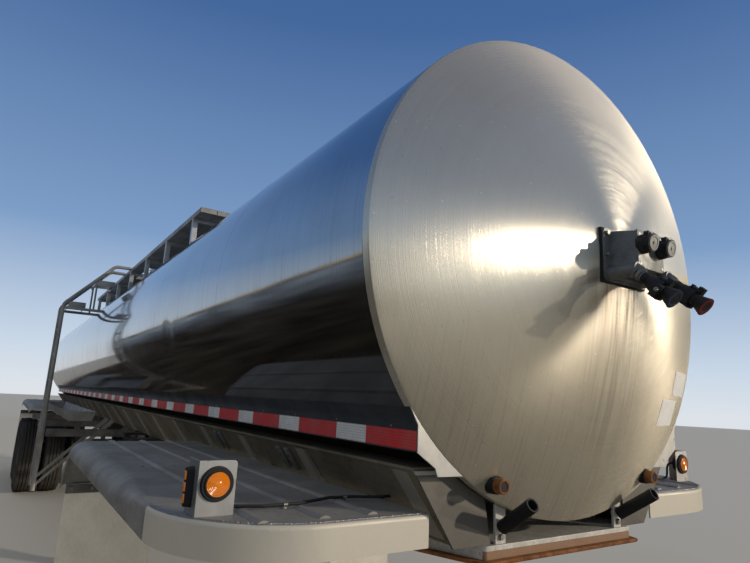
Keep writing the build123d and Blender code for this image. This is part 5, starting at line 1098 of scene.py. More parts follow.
@dataclass
class Barrel:
    """The tank: a polished jacket in lapped courses and two dished heads brushed in circles."""

    radius: float = 0.82
    axis_z: float = TANK_AXIS_Z
    front: float = 5.9
    rear: float = -6.1
    crown_radius: float = 1.7
    rim_radius: float = 0.005
    flange: float = 0.028
    groove: float = 0.003
    middle: Pair = (-0.55, 0.75)
    seams: tuple[float, ...] = (4.62, 3.36, 2.10, -1.82, -3.10, -4.38)
    seam_width: float = 0.014
    seam_rise: float = 0.0004
    seam_slope: float = 0.0012
    steps: int = 256
    crown_steps: int = 44
    rim_steps: int = 6
    bore_at: Triple = (0.1, 0.0, 2.68)
    bore_radius: float = 0.254
    bore_depth: float = 0.4
    label_boxes: tuple = ((0.545, 1.752, 0.20, 0.085), (0.43, 1.647, 0.17, 0.09))
    label_slant: float = 0.012
    label_thickness: float = 0.0008

    def course(self, name: str, rear: float, front: float) -> bpy.types.Object:
        """Turns one course of the jacket, with its lapped seams.

        Args:
            name: Name of the piece.
            rear: Its rear end along the trailer.
            front: Its front end.

        Returns:
            The finished piece.
        """
        full, lap, slope = self.radius, self.radius + self.seam_rise, self.seam_slope
        profile: list[Pair] = [(0.0, rear), (full - self.groove, rear), (full, rear + self.groove)]
        for seam in sorted(self.seams):
            if rear < seam < front:
                half = self.seam_width / 2
                profile += [
                    (full, seam - half - slope), (lap, seam - half), (lap, seam + half), (full, seam + half + slope)]
        profile += [(full, front - self.groove), (full - self.groove, front), (0.0, front)]
        piece = Piece(name)
        piece.turned(profile, (0.0, 0.0, self.axis_z), AHEAD, self.steps)
        return piece.done(POLISHED, sharp=14.0)

    def head(self, name: str, rim: float, way: int) -> bpy.types.Object:
        """Turns one dished head.

        Args:
            name: Name of the piece.
            rim: Where its rim is along the trailer.
            way: 1 for the front head and -1 for the rear one.

        Returns:
            The finished piece.
        """
        centre = sqrt(self.crown_radius ** 2 - self.radius ** 2)
        knuckle = sqrt((self.crown_radius - self.rim_radius) ** 2 - (self.radius - self.rim_radius) ** 2)
        start = atan2(self.radius - self.rim_radius, knuckle)
        crown = [start * index / self.crown_steps for index in range(self.crown_steps + 1)]
        profile = [(self.crown_radius * sin(a), self.crown_radius * cos(a) - centre) for a in crown]
        for index in range(1, self.rim_steps + 1):
            a = start + (pi / 2 - start) * index / self.rim_steps
            profile.append((
                self.radius - self.rim_radius + self.rim_radius * sin(a),
                knuckle - centre + self.rim_radius * cos(a)))
        profile += [(self.radius, -self.flange), (0.0, -self.flange)]
        piece = Piece(name)
        piece.turned(profile, (rim, 0.0, self.axis_z), (way, 0, 0), self.steps)
        return piece.done(HEAD, sharp=50.0)

    def on_head(self, y: float, z: float, proud: float = 0.0) -> Vector:
        """Finds a point on the front head.

        Args:
            y: Distance to the trailer's left.
            z: Height above the ground.
            proud: How far the point stands off the head.

        Returns:
            The point.
        """
        centre = Vector((self.front - sqrt(self.crown_radius ** 2 - self.radius ** 2), 0.0, self.axis_z))
        out = Vector((sqrt(self.crown_radius ** 2 - y * y - (z - self.axis_z) ** 2), y, z - self.axis_z))
        return centre + out * (1 + proud / self.crown_radius)

    def labels(self) -> None:
        """Lays two blank white labels on the front head."""
        piece = Piece("blank_head_labels")
        for middle_y, middle_z, width, height in self.label_boxes:
            part = bmesh.new()
            bmesh.ops.create_grid(part, x_segments=12, y_segments=6, size=0.5)
            for vert in part.verts:
                y = middle_y + vert.co.x * width + vert.co.y * self.label_slant
                z = middle_z + vert.co.y * height
                vert.co = self.on_head(y, z, self.label_thickness + 0.0001)
            bmesh.ops.solidify(part, geom=part.faces[:], thickness=self.label_thickness)
            piece.join(part, Matrix.Identity(4))
        piece.done(VINYL)

    def build(self) -> None:
        """Builds and dresses the whole tank."""
        shells = [
            self.course("jacket_front_course", self.middle[1], self.front - self.flange),
            self.course("jacket_rear_course", self.rear + self.flange, self.middle[0])]
        for shell in shells:
            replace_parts(shell, "tank_end_shells")
        centre = self.course("jacket_middle_course", *self.middle)
        bore = Piece("bore")
        bore.rod(self.bore_at, UP, self.bore_radius, self.bore_depth, sides=96)
        carve(centre, bore)
        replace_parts(centre, "tank_middle_shell")
        for name, rim, way in (("front_dished_head", self.front, 1), ("rear_dished_head", self.rear, -1)):
            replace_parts(self.head(name, rim, way), "tank_heads")
        for node in ("tank_end_shells", "tank_middle_shell"):
            dress(node, POLISHED)
        dress("tank_heads", HEAD)
        self.labels()


@dataclass
class RailRun:
    """The side rails with their reflective tape, closing plates and fasteners."""

    face_y: float = 0.63
    front: float = 5.896
    rear: float = -5.604
    tape_low: float = 1.5164
    tape_high: float = 1.5672
    first_red: float = 0.2495
    white: float = TAPE_WHITE
    red: float = TAPE_RED
    thickness: float = 0.0005
    rivet_z: float = 1.5746
    rivet_pitch: float = 0.31
    first_rivet: float = 0.12

    def strip(self) -> dict[str, list[Pair]]:
        """Works out the tape's red and white lengths.

        Returns:
            The rear and front end of each length, by colour.
        """
        lengths: dict[str, list[Pair]] = {"red": [(self.front - self.first_red, self.front - 0.001)], "white": []}
        at, colour = self.front - self.first_red, "white"
        while at > self.rear + 0.02:
            length = self.white if colour == "white" else self.red
            end = max(at - length, self.rear + 0.01)
            lengths[colour].append((end, at))
            at, colour = end, "red" if colour == "white" else "white"
        return lengths

    def build(self) -> None:
        """Lays the tape and dresses the rails."""
        worked("side_rails", RAIL, 0.0012)
        worked("front_plates", PLATE, 0.0008)
        lengths = self.strip()
        face = self.face_y + self.thickness / 2 + 0.0001
        for colour, finish in (("red", RED_TAPE), ("white", WHITE_TAPE)):
            tape = Piece(f"{colour}_tape")
            for rear, front in lengths[colour]:
                for side in (-1, 1):
                    tape.block(
                        ((rear + front) / 2, side * face, (self.tape_low + self.tape_high) / 2),
                        (front - rear - 0.0006, self.thickness, self.tape_high - self.tape_low))
            tape.done(finish)
        rivets = Piece("rail_rivets")
        x = self.front - self.first_rivet
        while x > self.rear:
            for side in (-1, 1):
                seat = (x, side * (self.face_y - 0.001), self.rivet_z)
                rivets.rod(seat, (0, side, 0), 0.0042, 0.0028, sides=10, tip=0.0026)
            x -= self.rivet_pitch
        rivets.done(ZINC)


@dataclass
class FrameWork:
    """Frame sides, saddles and the coupler."""

    coupler_low: float = 1.2
    kingpin_x: float = 4.986
    bracket_xs: tuple[float, ...] = (4.11, 4.93)
    bracket_y: float = 0.5596
    bracket_z: float = 1.398
    bracket_gap: float = 0.075
    slot_rises: Pair = (-0.026, 0.018)
    web_lean: float = 0.7619
    plate_bolt_circle: float = 0.16
    plate_bolt_count: int = 8
    post_bolt_y: float = 0.287

    def slotted_brackets(self) -> None:
        """Bolts pairs of slotted upright brackets to the frame's sides, above the fenders."""
        brackets, slots = Piece("slotted_frame_brackets"), Piece("slots")
        lean = Matrix.Rotation(atan(self.web_lean), 4, "X")
        for x in self.bracket_xs:
            for offset in (0.0, self.bracket_gap):
                for side in (-1, 1):
                    turn = lean if side < 0 else lean.inverted()
                    at = Vector((x + offset, side * self.bracket_y, self.bracket_z))
                    brackets.block(at, (0.034, 0.012, 0.105), 0.002, turn)
                    for rise in self.slot_rises:
                        slots.block(at + Vector((0, 0, rise)), (0.011, 0.06, 0.022), 0.004, turn)
        carve(brackets.done(FRAME), slots)

    def build(self) -> None:
        """Dresses the frame and adds its brackets and the coupler's fasteners."""
        worked("frame_sides", WEB, 0.0015)
        worked("frame_saddles", FRAME, 0.0)
        worked("coupler_pan", PAN, 0.002)
        worked("coupler_plate", RUST, 0.0015)
        worked("kingpin", RUST, 0.0008)
        worked("front_posts", PAN, 0.0012)
        worked("drain_tubes", RUBBER, 0.0012)
        worked("outriggers", FRAME, 0.002)
        self.slotted_brackets()
        bolts = Piece("coupler_bolts")
        for ahead, across in spread(self.plate_bolt_count, self.plate_bolt_circle):
            bolts.rod((self.kingpin_x + ahead, across, self.coupler_low), DOWN, 0.011, 0.004, sides=20, tip=0.009)
        low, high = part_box("front_posts")
        for side in (-1, 1):
            bolts.bolt((high[0], side * self.post_bolt_y, low[2] + 0.02), AHEAD, 0.016, 0.007)
        bolts.done(ZINC)


@dataclass
class Fenders:
    """Front and rear fenders with their carriers, lamps and flaps."""

    deck_z: float = 1.345
    front_x: float = 5.84
    rear_x: float = -5.8
    rear_bolt_z: float = 1.1
    outer_y: float = 1.2
    corner_radius: float = 0.36
    edge_inset: float = 0.012
    lamp_x: float = 5.68
    lamp_y: float = 1.0835
    lamp_z: float = 1.421
    lens_rings: int = 6
    side_lamp: Triple = (5.637, 1.1495, 1.411)
    side_lamp_pitch: float = 0.027
    head_lamp: Triple = (5.9, 0.37, 1.425)
    lead_z: float = 1.3565
    clip_places: tuple[Pair, ...] = ((5.6497, 0.88), (5.6, 0.665))
    weld_start_y: float = 0.548
    weld_pitch: float = 0.006
    weld_radius: float = 0.0046
    strip_at: Triple = (3.2835, 1.0225, 1.049)
    strip_size: Triple = (0.006, 0.285, 0.05)
    flap_bolt_ys: tuple[float, ...] = (0.91, 1.0225, 1.135)
    rear_bolt_ys: tuple[float, ...] = (0.68, 0.83, 0.98, 1.13)
    bracket_bolts: tuple[Pair, ...] = ((5.655, 1.10), (5.62, 1.10))
    rivet_xs: tuple[float, ...] = (5.56, 4.72, 3.72)
    rivet_ys: tuple[float, ...] = (0.62, 0.78, 0.94, 1.06)

    def lamps(self) -> None:
        """Gives the amber lamps ribbed lenses in black grommets, and the two on the head rusted steel sleeves."""
        worked("amber_lamps", RUBBER, 0.0)
        side_x, side_y, side_z = self.side_lamp
        head_x, head_y, head_z = self.head_lamp
        lens = Piece("round_amber_lenses")
        side_lens = Piece("side_amber_lenses")
        sleeves = Piece("head_lamp_sleeves")
        for side in (-1, 1):
            rings = ringed(self.lens_rings, first=0.0085, pitch=0.0036, depth=0.0007, top=0.0146, reach=0.031)
            profile = [(0.0, 0.0148), (0.006, 0.0146), *rings, (0.0312, 0.0095), (0.0318, 0.002), (0.0, 0.002)]
            lens.turned(profile, (self.lamp_x, side * self.lamp_y, self.lamp_z), AHEAD, 48)
            for row in (-1, 0, 1):
                side_lens.block(
                    (side_x, side * side_y, side_z + row * self.side_lamp_pitch), (0.014, 0.006, 0.022), 0.002)
            sleeves.turned(
                [(0.0145, 0.034), (0.0208, 0.034), (0.0208, 0.0592), (0.0195, 0.0605), (0.0150, 0.0605),
                 (0.0145, 0.0595), (0.0145, 0.034)],
                (head_x, side * head_y, head_z), AHEAD, 32)
        lens.done(AMBER)
        side_lens.done(AMBER)
        sleeves.done(RUST)

    def welds(self) -> None:
        """Runs a hand-laid weld along the front edge and corner of each fender's deck."""
        ripple = random.Random(11)
        bead = Piece("fender_edge_welds")
        radius = self.corner_radius - self.edge_inset
        middle_x, middle_y = self.front_x - self.corner_radius, self.outer_y - self.corner_radius
        route = [
            Vector((middle_x + radius, y / 1000, self.deck_z))
            for y in range(round(self.weld_start_y * 1000), round(middle_y * 1000), round(self.weld_pitch * 1000))]
        turns = round(radius * pi / 2 / self.weld_pitch)
        route += [
            Vector((middle_x + radius * cos(angle), middle_y + radius * sin(angle), self.deck_z))
            for angle in [pi / 2 * step / turns for step in range(turns + 1)]]
        for side in (-1, 1):
            for point, following in zip(route, route[1:]):
                part = bmesh.new()
                bmesh.ops.create_uvsphere(
                    part, u_segments=8, v_segments=5, radius=self.weld_radius * ripple.uniform(0.75, 1.2))
                bmesh.ops.scale(part, vec=(1.1, 0.85, 0.5), verts=part.verts)
                heading = atan2(following.y - point.y, following.x - point.x)
                wander = ripple.uniform(-0.0012, 0.0012)
                place = Matrix.Translation((point.x + wander, point.y, point.z)) @ Matrix.Rotation(heading, 4, "Z")
                bead.join(part, Matrix.Diagonal((1, side, 1, 1)) @ place)
        bead.done(BRIGHT, sharp=80.0)

    def lead_clips(self) -> None:
        """Clips each lamp's lead to the deck."""
        clips = Piece("lamp_lead_clips")
        rise = self.lead_z - self.deck_z
        for x, y in self.clip_places:
            for side in (-1, 1):
                clips.turned(
                    [(0.0046, -0.006), (0.0061, -0.006), (0.0061, 0.006), (0.0046, 0.006), (0.0046, -0.006)],
                    (x, side * y, self.lead_z), LEFT, 20)
                clips.block((x - 0.014, side * y, self.deck_z + 0.0012), (0.03, 0.012, 0.0016), 0.0004)
                clips.block((x - 0.006, side * y, self.deck_z + rise / 2 - 0.001), (0.0016, 0.012, rise), 0.0004)
                clips.rod((x - 0.02, side * y, self.deck_z + 0.002), UP, 0.0045, 0.003, sides=12, tip=0.003)
        clips.done(ZINC)

    def build(self) -> None:
        """Builds and dresses the fenders."""
        worked("front_fenders", FENDER, 0.0012, 24.0)
        worked("rear_fenders", DECK, 0.0012, 24.0)
        worked("fender_carriers", FRAME, 0.0015)
        worked("lamp_brackets", BRIGHT, 0.0008)
        worked("mud_flaps", FLAP, 0.0015)
        worked("lamp_leads", RUBBER, 0.0, 60.0)
        self.lamps()
        self.welds()
        self.lead_clips()
        bolts, strips = Piece("fender_bolts"), Piece("flap_clamp_strips")
        strip_x, strip_y, strip_z = self.strip_at
        for side in (-1, 1):
            strips.block((strip_x, side * strip_y, strip_z), self.strip_size, 0.001)
            for y in self.flap_bolt_ys:
                bolts.bolt((strip_x + 0.003, side * y, strip_z), AHEAD, 0.017, 0.006)
            for y in self.rear_bolt_ys:
                bolts.bolt((self.rear_x, side * y, self.rear_bolt_z), BACK, 0.017, 0.006)
            for x, y in self.bracket_bolts:
                bolts.bolt((x, side * y, self.deck_z), UP, 0.013, 0.005)
            for x in self.rivet_xs:
                for y in self.rivet_ys:
                    bolts.rod((x, side * y, self.deck_z - 0.001), UP, 0.0065, 0.0035, sides=12, tip=0.004)
        bolts.done(ZINC)
        strips.done(FRAME)


@dataclass
class NoseFittings:
    """The box on the front head with two receptacles and two air couplings."""

    axis_z: float = TANK_AXIS_Z
    plate_front: float = 6.121
    plate_half_width: float = 0.108
    plate_top: float = 2.193
    plate_bottom: float = 2.028
    box_front: float = 6.2
    receptacle_y: float = 0.0475
    receptacle_z: float = 2.132
    lid_x: float = 6.232
    lid_tilt: float = 12.0
    lid_thickness: float = 0.01
    coupling_x: float = 6.213
    coupling_y: float = 0.083
    coupling_z: float = 2.038
    coupling_slope: float = 43.0
    coupling_reach: float = 0.132

    def gasket(self) -> None:
        """Seats the base plate on a thick black rubber gasket."""
        gasket = Piece("nose_plate_gasket")
        gasket.block(
            (self.plate_front - 0.0125, 0.0, (self.plate_top + self.plate_bottom) / 2),
            (0.015, 2 * self.plate_half_width + 0.007, self.plate_top - self.plate_bottom + 0.008), 0.003)
        gasket.done(RUBBER)

    def box_details(self) -> None:
        """Adds the box's face plate, its screws and the base plate's bolts."""
        face = Piece("nose_box_face_plate")
        face.block((self.box_front + 0.0015, 0.0, self.axis_z - 0.0015), (0.007, 0.136, 0.118), 0.003)
        face.block((self.plate_front + 0.003, 0.0, self.axis_z - 0.079), (0.012, 0.17, 0.014), 0.003)
        face.done(CASTING)
        bolts = Piece("nose_plate_bolts")
        for side in (-1, 1):
            for z in (self.plate_top - 0.015, self.axis_z - 0.01, self.plate_bottom + 0.015):
                bolts.bolt((self.plate_front, side * (self.plate_half_width - 0.015), z), AHEAD, 0.014, 0.007)
            for z in (self.axis_z + 0.044, self.axis_z - 0.047):
                bolts.rod((self.box_front + 0.004, side * 0.056, z), AHEAD, 0.0042, 0.002, sides=14)
        bolts.done(ZINC)

    def lids(self) -> None:
        """Gives each receptacle its eight-sided collar, sprung hinge and cast lid."""
        tilt = radians(self.lid_tilt)
        out = Vector((cos(tilt), 0.0, -sin(tilt)))
        collars, lids, springs = Piece("receptacle_collars"), Piece("receptacle_lids"), Piece("receptacle_springs")
        for side in (-1, 1):
            y = side * self.receptacle_y
            z = self.receptacle_z
            collars.rod((self.box_front + 0.004, y, z), AHEAD, 0.0305, 0.019, sides=8, bevel=0.002)
            collars.rod((self.box_front + 0.021, y, z), AHEAD, 0.0275, 0.008, sides=32, tip=0.026)
            for knuckle in (-0.014, 0.014):
                collars.block((self.lid_x - 0.003, y + knuckle, z + 0.026), (0.016, 0.007, 0.015), 0.002)
            lids.turned(
                [(0.0, 0.0035), (0.004, 0.0034), (0.0052, 0.0012), (0.016, 0.0012), (0.018, 0.0026), (0.0225, 0.0026),
                 (0.0238, 0.0), (0.0238, -0.002), (0.0, -0.002)],
                Vector((self.lid_x, y, z)) + out * self.lid_thickness, out, 40)
            lids.block(
                Vector((self.lid_x, y, z + 0.0235)) + out * 0.004, (0.008, 0.017, 0.014), 0.002,
                Matrix.Rotation(tilt, 4, "Y"))
            pin = Vector((self.lid_x - 0.001, y - 0.019, z + 0.0305))
            springs.rod(pin, LEFT, 0.0022, 0.038, sides=12)
            for coil in range(7):
                springs.turned(
                    [(0.0028, 0.0), (0.0042, 0.0004), (0.0042, 0.0014), (0.0028, 0.0018), (0.0028, 0.0)],
                    pin + Vector((0, 0.0125 + coil * 0.0019, 0)), LEFT, 16)
        collars.done(CAST)
        lids.done(CASTING)
        springs.done(ZINC)

    def couplings(self) -> None:
        """Gives each coupling its swivel nut, jaws, ribs and coloured seal."""
        slope = radians(self.coupling_slope)
        turn = Matrix.Rotation(slope, 4, "Y")
        axis = Vector((cos(slope), 0.0, -sin(slope)))
        up = Vector((sin(slope), 0.0, cos(slope)))
        jaws, nuts = Piece("coupling_jaws"), Piece("coupling_nuts")
        seals = {1: Piece("maroon_coupling_seal"), -1: Piece("blue_coupling_seal")}
        for side, seal in seals.items():
            base = Vector((self.coupling_x, side * self.coupling_y, self.coupling_z))
            nuts.rod(base + axis * 0.001, axis, 0.0205, 0.013, sides=6, bevel=0.0015)
            nuts.rod(base + axis * 0.016, axis, 0.0175, 0.004, sides=32)
            for rib in (0.027, 0.035):
                jaws.turned(
                    [(0.014, rib - 0.002), (0.0175, rib - 0.0012), (0.0175, rib + 0.0012), (0.014, rib + 0.002),
                     (0.014, rib - 0.002)], base, axis, 32)
            for way in (-1, 1):
                jaws.block(base + axis * 0.083 + up * way * 0.0265, (0.03, 0.03, 0.009), 0.003, turn)
                jaws.rod(base + axis * 0.066 + up * way * 0.02, up * way, 0.007, 0.013, sides=16, bevel=0.001)
            jaws.block(base + axis * 0.094 + Vector((0, side * 0.03, 0)), (0.016, 0.016, 0.03), 0.003, turn)
            nuts.bolt(base + axis * 0.094 + Vector((0, side * 0.0375, 0)), (0, side, 0), 0.011, 0.005)
            end = self.coupling_reach
            seal.turned(
                [(0.010, end - 0.004), (0.026, end - 0.004), (0.0262, end + 0.0005), (0.0235, end + 0.0012),
                 (0.0165, end + 0.0006), (0.014, end - 0.001), (0.010, end - 0.001), (0.010, end - 0.004)],
                base, axis, 40)
            seal.done(RED_SEAL if side > 0 else BLUE_SEAL)
        jaws.done(CAST)
        nuts.done(ZINC)

    def build(self) -> None:
        """Builds and dresses the nose box's fittings."""
        worked("nose_box", CASTING, 0.0015, 24.0)
        worked("receptacles", CAST, 0.0015)
        worked("air_couplings", CAST, 0.0015)
        self.gasket()
        self.box_details()
        self.lids()
        self.couplings()


@dataclass
class TopGear:
    """Walkway, ladder, manhole and vent."""

    plank_first_y: float = -0.5
    plank_pitch: float = 0.134
    plank_width: float = 0.114
    plank_count: int = 4
    plank_ends: Pair = (-2.75, 2.95)
    manhole_ends: Pair = (-0.29, 0.49)
    plank_top: float = 3.04
    plank_margin: float = 0.009
    rib_count: int = 6
    plank_bolt_ys: Pair = (0.0375, 0.0765)
    post_first_x: float = 2.73
    post_pitch: float = 0.885
    post_count: int = 7
    tread_ends: Pair = (-0.3, 0.1)
    treads: tuple[Triple, ...] = ((2.538, -1.09, -0.92), (2.82, -0.855, -0.65))
    grip_rows: int = 5
    grip_columns: int = 10
    manhole_x: float = 0.1
    lid_seat: float = 3.0522
    gasket_inner: float = 0.27
    gasket_outer: float = 0.2822

    def planks(self) -> None:
        """Runs ribs along the extruded planks and bolts them to their cross bars."""
        ribs, bolts = Piece("plank_ribs"), Piece("plank_bolts")
        for index in range(self.plank_count):
            near = self.plank_first_y + index * self.plank_pitch
            spans = [self.plank_ends]
            if index:
                spans = [(self.plank_ends[0], self.manhole_ends[0]), (self.manhole_ends[1], self.plank_ends[1])]
            for rear, front in spans:
                for row in range(self.rib_count):
                    y = near + self.plank_margin
                    y += row * (self.plank_width - 2 * self.plank_margin) / (self.rib_count - 1)
                    middle = ((rear + front) / 2, y, self.plank_top + 0.0008)
                    ribs.block(middle, (front - rear - 0.002, 0.0045, 0.0036), 0.0012)
                for post in range(self.post_count):
                    x = self.post_first_x - post * self.post_pitch
                    if rear < x < front:
                        for across in self.plank_bolt_ys:
                            seat = (x, near + across, self.plank_top)
                            bolts.rod(seat, UP, 0.0078, 0.0034, sides=14, tip=0.0045)
        ribs.done(DECK)
        bolts.done(ZINC)

    def grips(self) -> None:
        """Raises dimples on the two treads and bends up their front edges."""
        grips, lips = Piece("tread_grips"), Piece("tread_lips")
        rear, front = self.tread_ends
        for height, outer, inner in self.treads:
            lips.block((front + 0.003, (outer + inner) / 2, height - 0.003), (0.008, inner - outer, 0.062), 0.003)
            for row in range(self.grip_rows):
                for column in range(self.grip_columns):
                    shift = 0.018 if row % 2 else 0.0
                    x = rear + 0.026 + shift + column * (front - rear - 0.07) / (self.grip_columns - 1)
                    y = outer + 0.02 + row * (inner - outer - 0.04) / (self.grip_rows - 1)
                    grips.rod((x, y, height - 0.0005), UP, 0.0085, 0.0026, sides=12, tip=0.0055)
        grips.done(BRIGHT)
        lips.done(DECK)

    def manhole(self) -> None:
        """Seats the lid on a black gasket."""
        gasket = Piece("manhole_gasket")
        inner, outer = self.gasket_inner, self.gasket_outer
        gasket.turned(
            [(inner, -0.0004), (outer, -0.0004), (outer, 0.0016), (inner, 0.0016), (inner, -0.0004)],
            (self.manhole_x, 0.0, self.lid_seat), UP, 96)
        gasket.done(RUBBER)

    def build(self) -> None:
        """Builds and dresses what stands on the tank and its ladder."""
        worked("walkway_planks", DECK, 0.002)
        worked("walkway_posts", BRIGHT, 0.0015)
        worked("ladder_rails", DECK, 0.0, 35.0)
        worked("ladder_treads", BRIGHT, 0.001)
        worked("manhole_neck", BRUSHED, 0.001)
        worked("manhole_lid", BRUSHED, 0.001)
        worked("manhole_swing_bolts", BRUSHED, 0.0008)
        worked("top_vent", BRUSHED, 0.001)
        worked("hose_trays", DECK, 0.0008)
        self.planks()
        self.grips()
        self.manhole()


@dataclass
class LandingGear:
    """The landing legs, their gearbox, crank and braces."""

    x: float = 2.2
    y: float = 0.56
    beam_low: float = 1.15
    tube: float = 0.124
    tube_low: float = 0.52
    beam_bolts: Pair = (0.082, 0.06)
    foot_pin_z: float = 0.045
    gearbox_y: float = -0.686
    gearbox_bolts: Pair = (0.045, 0.058)
    shaft_end_y: float = -0.714
    shaft_z: float = 1.01
    grip_z: float = 0.694
    grip_y: Pair = (-0.722, -0.808)

    def build(self) -> None:
        """Builds and dresses the landing gear."""
        for node in ("landing_beam", "landing_legs", "landing_drive", "landing_braces"):
            worked(node, BLACK, 0.0018)
        plates, bolts = Piece("landing_leg_plates"), Piece("landing_gear_bolts")
        for side in (-1, 1):
            y, tube = side * self.y, self.tube
            plates.block((self.x, y, self.beam_low - 0.005), (tube + 0.07, tube + 0.06, 0.01), 0.002)
            plates.block((self.x, y, self.tube_low + 0.006), (tube + 0.01, tube + 0.01, 0.016), 0.003)
            for ahead in (-1, 1):
                for across in (-1, 1):
                    x = self.x + ahead * self.beam_bolts[0]
                    bolts.bolt((x, y + across * self.beam_bolts[1], self.beam_low - 0.01), DOWN, 0.024, 0.012)
            bolts.rod((self.x - 0.066, y, self.foot_pin_z), AHEAD, 0.013, 0.132, sides=20, bevel=0.002)
        for ahead in (-1, 1):
            for rise in (-1, 1):
                x, z = self.x + ahead * self.gearbox_bolts[0], self.shaft_z + rise * self.gearbox_bolts[1]
                bolts.bolt((x, self.gearbox_y, z), RIGHT, 0.016, 0.008)
        bolts.bolt((self.x, self.shaft_end_y, self.shaft_z), RIGHT, 0.022, 0.008)
        plates.done(BLACK)
        bolts.done(ZINC)
        grip = Piece("crank_grip")
        length = self.grip_y[0] - self.grip_y[1]
        grip.turned(
            [(0.0128, 0.0), (0.0165, 0.0015), (0.0175, 0.006), (0.0165, length / 2), (0.0175, length - 0.006),
             (0.0165, length - 0.0015), (0.0128, length), (0.0128, 0.0)],
            (self.x, self.grip_y[0], self.grip_z), RIGHT, 32)
        grip.done(RUBBER)


@dataclass
class RunningGear:
    """Axles, air suspension and reservoirs."""

    axle_xs: tuple[float, ...] = AXLE_XS
    axle_z: float = AXLE_Z
    arm_y: float = 0.45
    arm_top: float = 0.696
    hanger_forward: float = 0.56
    hanger_half: float = 0.066
    pivot_z: float = 0.64
    leg_reach: float = 0.073
    leg_ys: Pair = (-0.029, 0.029)
    chamber_forward: float = 0.172
    chamber_y: float = 0.205
    chamber_z: float = 0.562
    chamber_radius: float = 0.078
    reservoir_xs: tuple[float, ...] = (-1.56, -1.9)
    reservoir_z: float = 1.115
    reservoir_radius: float = 0.12
    reservoir_half: float = 0.31
    drain_y: float = 0.08

    def clamps(self) -> None:
        """Clamps the arms to the axles with U-bolts, under a top plate."""
        bolts, plates = Piece("axle_u_bolts"), Piece("axle_top_plates")
        for x in self.axle_xs:
            for side in (-1, 1):
                plates.block((x, side * self.arm_y, self.arm_top + 0.006), (0.2, 0.1, 0.012), 0.002)
                for across in self.leg_ys:
                    y = side * self.arm_y + across
                    arc = [
                        (x + self.leg_reach * cos(angle), y, self.axle_z + self.leg_reach * sin(angle))
                        for angle in [pi + pi * step / 12 for step in range(13)]]
                    near, far = [(x + way * self.leg_reach, y, self.arm_top + 0.045) for way in (-1, 1)]
                    bolts.pipe([near, *arc, far], 0.0085, sides=3, smooth=False)
                    for ahead in (-1, 1):
                        seat = (x + ahead * self.leg_reach, y, self.arm_top + 0.012)
                        bolts.rod(seat, UP, 0.0165, 0.017, sides=6, bevel=0.0015)
        plates.done(BLACK)
        bolts.done(ZINC)

    def pivots(self) -> None:
        """Puts a nut and washer on each end of the arms' pivot bolts."""
        nuts = Piece("pivot_nuts")
        washer = 0.004
        for x in self.axle_xs:
            for side in (-1, 1):
                for way in (-1, 1):
                    at = Vector((x + self.hanger_forward, side * self.arm_y + way * self.hanger_half, self.pivot_z))
                    out = Vector((0, way, 0))
                    nuts.rod(at, out, 0.031, washer, sides=28)
                    nuts.rod(at + out * washer, out, 0.0255, 0.014, sides=6, bevel=0.002)
        nuts.done(ZINC)

    def chambers(self) -> None:
        """Bands the brake chambers and gives each its clamp bolts and air port."""
        bands, ports = Piece("brake_chamber_bands"), Piece("brake_chamber_fittings")
        for x in self.axle_xs:
            for side in (-1, 1):
                at = Vector((x + self.chamber_forward, side * self.chamber_y, self.chamber_z))
                radius = self.chamber_radius
                bands.turned(
                    [(radius - 0.002, -0.012), (radius + 0.003, -0.011), (radius + 0.0065, 0.0),
                     (radius + 0.003, 0.011), (radius - 0.002, 0.012), (radius - 0.002, -0.012)], at, LEFT, 48)
                for way in (-1, 1):
                    bands.block(at + Vector((0, 0, way * (radius + 0.009))), (0.03, 0.016, 0.014), 0.002)
                    ports.bolt(at + Vector((0.015, 0, way * (radius + 0.009))), AHEAD, 0.013, 0.006)
                ports.rod(at + Vector((radius - 0.004, side * 0.045, 0.0)), AHEAD, 0.009, 0.018, sides=6)
        bands.done(BLACK)
        ports.done(ZINC)

    def reservoirs(self) -> None:
        """Adds the reservoirs' welds, end plugs and drain cocks."""
        welds, plugs = Piece("reservoir_welds"), Piece("reservoir_plugs")
        radius, low = self.reservoir_radius, self.reservoir_z - self.reservoir_radius
        for x in self.reservoir_xs:
            for side in (-1, 1):
                welds.turned(
                    [(radius - 0.001, -0.004), (radius + 0.0018, 0.0), (radius - 0.001, 0.004)],
                    (x, side * (self.reservoir_half - 0.036), self.reservoir_z), LEFT, 64)
                end = (x, side * (self.reservoir_half - 0.001), self.reservoir_z + 0.045)
                plugs.rod(end, (0, side, 0), 0.015, 0.013, sides=6, bevel=0.0015)
            plugs.rod((x, self.drain_y, low + 0.002), DOWN, 0.011, 0.014, sides=6, bevel=0.001)
            plugs.rod((x, self.drain_y, low - 0.012), DOWN, 0.005, 0.012, sides=12)
        welds.done(BLACK)
        plugs.done(ZINC)

    def build(self) -> None:
        """Builds and dresses everything between the frame and the wheels."""
        for node in ("suspension_hangers", "trailing_arms", "axles"):
            worked(node, BLACK, 0.0018)
        worked("air_springs", RUBBER, 0.001)
        worked("shock_absorbers", BLACK, 0.001)
        worked("air_reservoirs", BLACK, 0.001)
        self.clamps()
        self.pivots()
        self.chambers()
        self.reservoirs()


